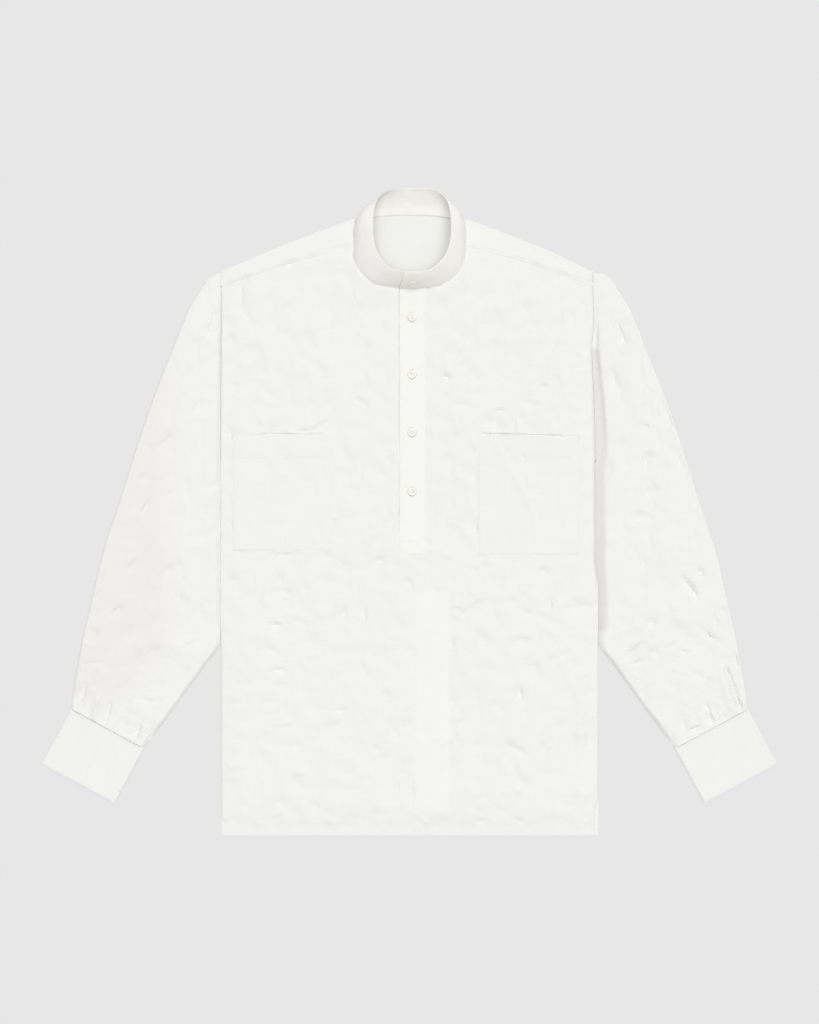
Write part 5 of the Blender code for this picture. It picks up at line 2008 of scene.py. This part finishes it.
    def build_cuff(self) -> bpy.types.Object:
        """Make the cuff and its stitching.

        Returns:
            The piece.
        """
        width = PATTERN.cuff_width
        fold = PATTERN.fold_reach
        flat = np.linspace(fold, width - fold, 48)
        turn = np.linspace(0.0, 1.0, 10)[1:-1]
        out_angle = math.pi * (turn - 0.5)
        half = 0.5 * self.cuff_top
        along = np.concatenate([flat, width - fold * (1.0 - np.cos(out_angle)), flat[::-1],
                                fold * (1.0 - np.cos(out_angle[::-1]))])
        z = np.concatenate([np.zeros_like(flat), half * (1.0 + np.sin(out_angle)),
                            np.full_like(flat, self.cuff_top), half * (1.0 + np.sin(out_angle[::-1]))])
        over = np.concatenate([np.zeros_like(flat), 0.0 * turn, ease((flat[::-1] - fold) / 0.004)
                               * ease((width - fold - flat[::-1]) / 0.004), 0.0 * turn])
        levels = np.linspace(0.0, PATTERN.cuff_depth, 44)
        grid_along = np.repeat(along[None, :], len(levels), 0)
        grid_down = np.repeat(levels[:, None], len(along), 1)
        surface = self.cuff_height(grid_along.ravel(), grid_down.ravel()).reshape(grid_along.shape)
        height = z[None, :] + (surface - self.cuff_top) * over[None, :]
        x, y = PATTERN.cuff_point(self.side, grid_along, grid_down)
        girth = length_along(along, z)
        girth = np.append(girth, girth[-1] + 0.001)
        coords = np.stack([np.repeat(girth[None, :], len(levels), 0),
                           np.repeat(levels[:, None], len(girth), 1)], -1)
        points = np.stack([x, y, height + 0.0002], -1)
        grid = Cloth(points, coords, closed_from=0, flip=self.side < 0)
        cuff = grid.build(f"cuff_{self.word()}_linen", self.finishes.pressed, self.cuff_wall)
        put(cuff, Slot.TRIM, f"cuff_{self.word()}")
        thread = Thread()
        near = self.cuff_stitch
        far = width - near
        deep = PATTERN.cuff_depth - near
        corners = np.array([(near, near), (far, near), (far, deep), (near, deep)])
        for first, second in zip(corners, np.roll(corners, -1, axis=0)):
            run = np.linspace(0.03, 0.97, 70)[:, None]
            line = first + run * (second - first)
            sewn_x, sewn_y = PATTERN.cuff_point(self.side, line[:, 0], line[:, 1])
            sewn_z = self.cuff_height(line[:, 0], line[:, 1]) + 0.0003
            thread.sew(np.stack([sewn_x, sewn_y, sewn_z], -1))
        put(thread.build(f"cuff_{self.word()}_thread", self.finishes.thread), Slot.TRIM)
        return cuff


@dataclass
class Studio:
    """Plain pale floor, soft light and the camera straight above."""

    image_height_m: float = 1.36533
    camera_height: float = 4.0
    sensor: float = 36.0
    floor_half: float = 20.0
    floor_tone: float = 0.12
    floor_glow: float = 0.675
    world_strength: float = 0.52
    key_strength: float = 1.58
    key_softness: float = math.radians(54.0)
    key_from: tuple[float, float, float] = (0.09, 0.22, 1.0)

    def build(self) -> None:
        """Make the floor, the lights, the world and the camera."""
        self.build_floor()
        self.add_key()
        world = bpy.data.worlds.new("soft studio")
        bpy.context.scene.world = world
        world.use_nodes = True
        background = world.node_tree.nodes["Background"]
        background.inputs["Color"].default_value = (1.0, 1.0, 1.0, 1.0)
        background.inputs["Strength"].default_value = self.world_strength
        camera_data = bpy.data.cameras.new("camera")
        camera_data.sensor_width = self.sensor
        camera_data.lens = self.sensor * self.camera_height / self.image_height_m
        camera = link("camera", camera_data)
        camera.location = (0.0, 0.0, self.camera_height)
        bpy.context.scene.camera = camera
        bpy.context.scene.view_settings.view_transform = "Standard"

    def build_floor(self) -> None:
        """Make the floor, painted a plain pale tone with a faint mottle."""
        half = self.floor_half
        mesh = bpy.data.meshes.new("floor")
        mesh.from_pydata([(-half, -half, 0.0), (half, -half, 0.0), (half, half, 0.0), (-half, half, 0.0)],
                         [], [(0, 1, 2, 3)])
        floor = link("floor", mesh)
        floor.location.z = -0.0002
        material, tree, shader = start_material(
            "pale floor", Roughness=0.9, Specular_IOR_Level=0.1, Emission_Color=(1.0, 1.0, 1.0, 1.0),
            Emission_Strength=self.floor_glow)
        coords = tree.nodes.new("ShaderNodeTexCoord")
        mottle = wire_noise(tree, coords.outputs["Object"], 2.5, 3.0)
        tone = self.floor_tone
        wire_ramp(tree, mottle, shader.inputs["Base Color"], (0.0, (tone * 0.99, tone * 0.99, tone)),
                  (1.0, (tone * 1.005, tone * 1.005, tone)))
        mesh.materials.append(material)

    def add_key(self) -> None:
        """Add the broad soft key light."""
        data = bpy.data.lights.new("key", "SUN")
        data.energy = self.key_strength
        data.angle = self.key_softness
        light = link("key", data)
        place = Vector(self.key_from)
        light.location = place * 3.0
        light.rotation_mode = "QUATERNION"
        light.rotation_quaternion = (-place).to_track_quat("-Z", "Y")


@dataclass(frozen=True)
class ShellFinish:
    """Ivory resin with the cloudy depth of shell."""

    pale: tuple[float, float, float] = (0.91, 0.90, 0.84)
    deep: tuple[float, float, float] = (0.81, 0.80, 0.72)
    roughness: float = 0.28

    def build(self) -> bpy.types.Material:
        """Make the material.

        Returns:
            The material.
        """
        material, tree, shader = start_material(
            "ivory shell", Roughness=self.roughness, Coat_Weight=0.25, Coat_Roughness=0.15)
        coords = tree.nodes.new("ShaderNodeTexCoord")
        swirl = wire_noise(tree, coords.outputs["Object"], 260.0, 3.0, stretch=(1.0, 2.4))
        wire_ramp(tree, swirl, shader.inputs["Base Color"], (0.35, self.deep), (0.62, self.pale))
        return material


@dataclass(frozen=True)
class ThreadFinish:
    """White twisted sewing thread."""

    pale: tuple[float, float, float] = (0.94, 0.94, 0.91)
    dim: tuple[float, float, float] = (0.86, 0.86, 0.82)

    def build(self) -> bpy.types.Material:
        """Make the material.

        Returns:
            The material.
        """
        material, tree, shader = start_material("sewing thread", Roughness=0.6, Sheen_Weight=0.2)
        coords = tree.nodes.new("ShaderNodeTexCoord")
        twist = wire_noise(tree, coords.outputs["Object"], 4000.0, 1.0)
        wire_ramp(tree, twist, shader.inputs["Base Color"], (0.35, self.dim), (0.6, self.pale))
        return material


def make_finishes() -> Finishes:
    """Make the shirt's materials.

    Returns:
        The materials.
    """
    weave = weave_group()
    crumple = crumple_group()
    pale = (0.915, 0.918, 0.892)
    shade = (0.85, 0.855, 0.825)
    linen = LinenFinish("washed linen", pale, shade)
    strip = Patch((0.935, 0.933, 0.888), (0.0290, -0.2535), (0.0235, 0.1465), 0.0050)
    front = LinenFinish("front linen", pale, shade, patch=strip)
    outer = Patch((0.860, 0.835, 0.802), (0.1300, 0.3400), (0.0600, 0.2600), 0.0400, 0.65)
    sleeve_left = LinenFinish("left sleeve linen", pale, shade, patch=outer)
    # painted shade: the right sleeve's cloth along the armhole valley is darkened in its colour, deeper than
    # the valley's own depth shades it
    valley = Patch((0.795, 0.782, 0.755), (0.0040, 0.2970), (0.0095, 0.1900), 0.0060, 1.0)
    sleeve_right = LinenFinish("right sleeve linen with painted armhole shade", pale, shade, patch=valley)
    # painted light: the upper part of the band round the back is brightened in its colour
    painted_light_inside_back = Patch((0.985, 0.975, 0.930), (0.1900, 0.0380), (0.0430, 0.0120), 0.0150, 0.8)
    band = LinenFinish("band linen with painted light at the back", (0.940, 0.930, 0.893), (0.875, 0.862, 0.825), crumple_relief=0.0004,
                       patch=painted_light_inside_back)
    pressed = LinenFinish("pressed linen", (0.913, 0.916, 0.883), (0.848, 0.853, 0.819),
                          crumple_relief=0.0003)
    trim = LinenFinish("placket linen", (0.955, 0.955, 0.918), (0.89, 0.89, 0.85), crumple_relief=0.0003)
    cloths = (linen, front, sleeve_left, sleeve_right, band, pressed, trim)
    return Finishes(*[cloth.build(weave, crumple) for cloth in cloths], thread=ThreadFinish().build(),
                    button=ShellFinish().build())


def seam_threads(upper: UpperCloth, finishes: Finishes) -> None:
    """Topstitch the yoke's front seam and the hem.

    Args:
        upper: the upper cloth's height.
        finishes: the materials.
    """
    thread = Thread()
    for side in (-1, 1):
        x = side * np.linspace(0.080, 0.243, 200)
        y = PATTERN.yoke_seam_y(x) + 0.0040
        thread.sew(np.stack([x, y, upper.base(x, y) + 0.0004], -1))
    put(thread.build("yoke_thread", finishes.thread), Slot.LINEN)
    thread = Thread()
    x = np.linspace(-0.243, 0.243, 400)
    y = np.full_like(x, PATTERN.hem_y + upper.hem_depth - 0.002)
    thread.sew(np.stack([x, y, upper.height(x, y) + 0.0002], -1))
    put(thread.build("hem_thread", finishes.thread), Slot.LINEN)


# Ditches in the front above the pocket mouths: x of both ends, y of both ends, depth
MOUTH_DITCHES = np.array((
    (-0.1960, -0.1130, 0.1036, 0.1036, 0.0018),
    (0.0980, 0.2270, 0.1040, 0.1000, 0.0034),
))

# Creases of the pockets' own cloth
POCKET_CREASES_LEFT = folds_from((
    (-129, 43, -138, 24, 4, -1.5, L), (-170, 70, -150, 66, 5, -0.8, R), (-215, 0, -205, -30, 6, 0.7, R),
    (-125, -15, -118, -35, 4, -0.9),
))

POCKET_CREASES_RIGHT = folds_from((
    (120, 85, 145.1, 36.1, 12, 2.2, L), (145.1, 36.1, 165, -8.5, 12, 2.4, L, 2),
    (165, -8.5, 169, -41.2, 10, 1.8, L), (129, 81, 133, 74, 3, -1.4), (148, 76, 156, 69, 3.4, -1.6, L),
    (166, 31, 170, 25, 3.4, -1.4), (205, 50, 200, 10, 7, 0.7, R),
))


def main() -> None:
    """Build the shirt in order."""
    logging.basicConfig(level=logging.INFO, format="%(name)s: %(message)s")
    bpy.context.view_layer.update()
    finishes = make_finishes()
    Studio().build()
    upper = UpperCloth()
    body = Body(upper, finishes)
    body.build_back()
    body.build_front()
    body.build_yoke()
    seam_threads(upper, finishes)
    band = StandingBand(finishes)
    band.build()
    placket = Placket(upper, finishes)
    placket.build()
    ChestPocket("left", *POCKET_LEFT, upper, finishes, POCKET_CREASES_LEFT, 61).build()
    ChestPocket("right", *POCKET_RIGHT, upper, finishes, POCKET_CREASES_RIGHT, 71,
                mouth_slope=-0.0040, gape=0.0025, gape_middle=0.30).build()
    for side, creases, seed in ((-1, SLEEVE_CREASES_LEFT, 101), (1, SLEEVE_CREASES_RIGHT, 131)):
        valley = {} if side > 0 else {"dip_scale": 0.35, "dip_least": 0.0045, "floor_share": 0.0}
        sleeve = Sleeve(side, creases, finishes, seed, **valley)
        sleeve.build_sleeve()
        sleeve.build_cuff()
    Buttons(placket, band, finishes).build()


if __name__ == "__main__":
    main()
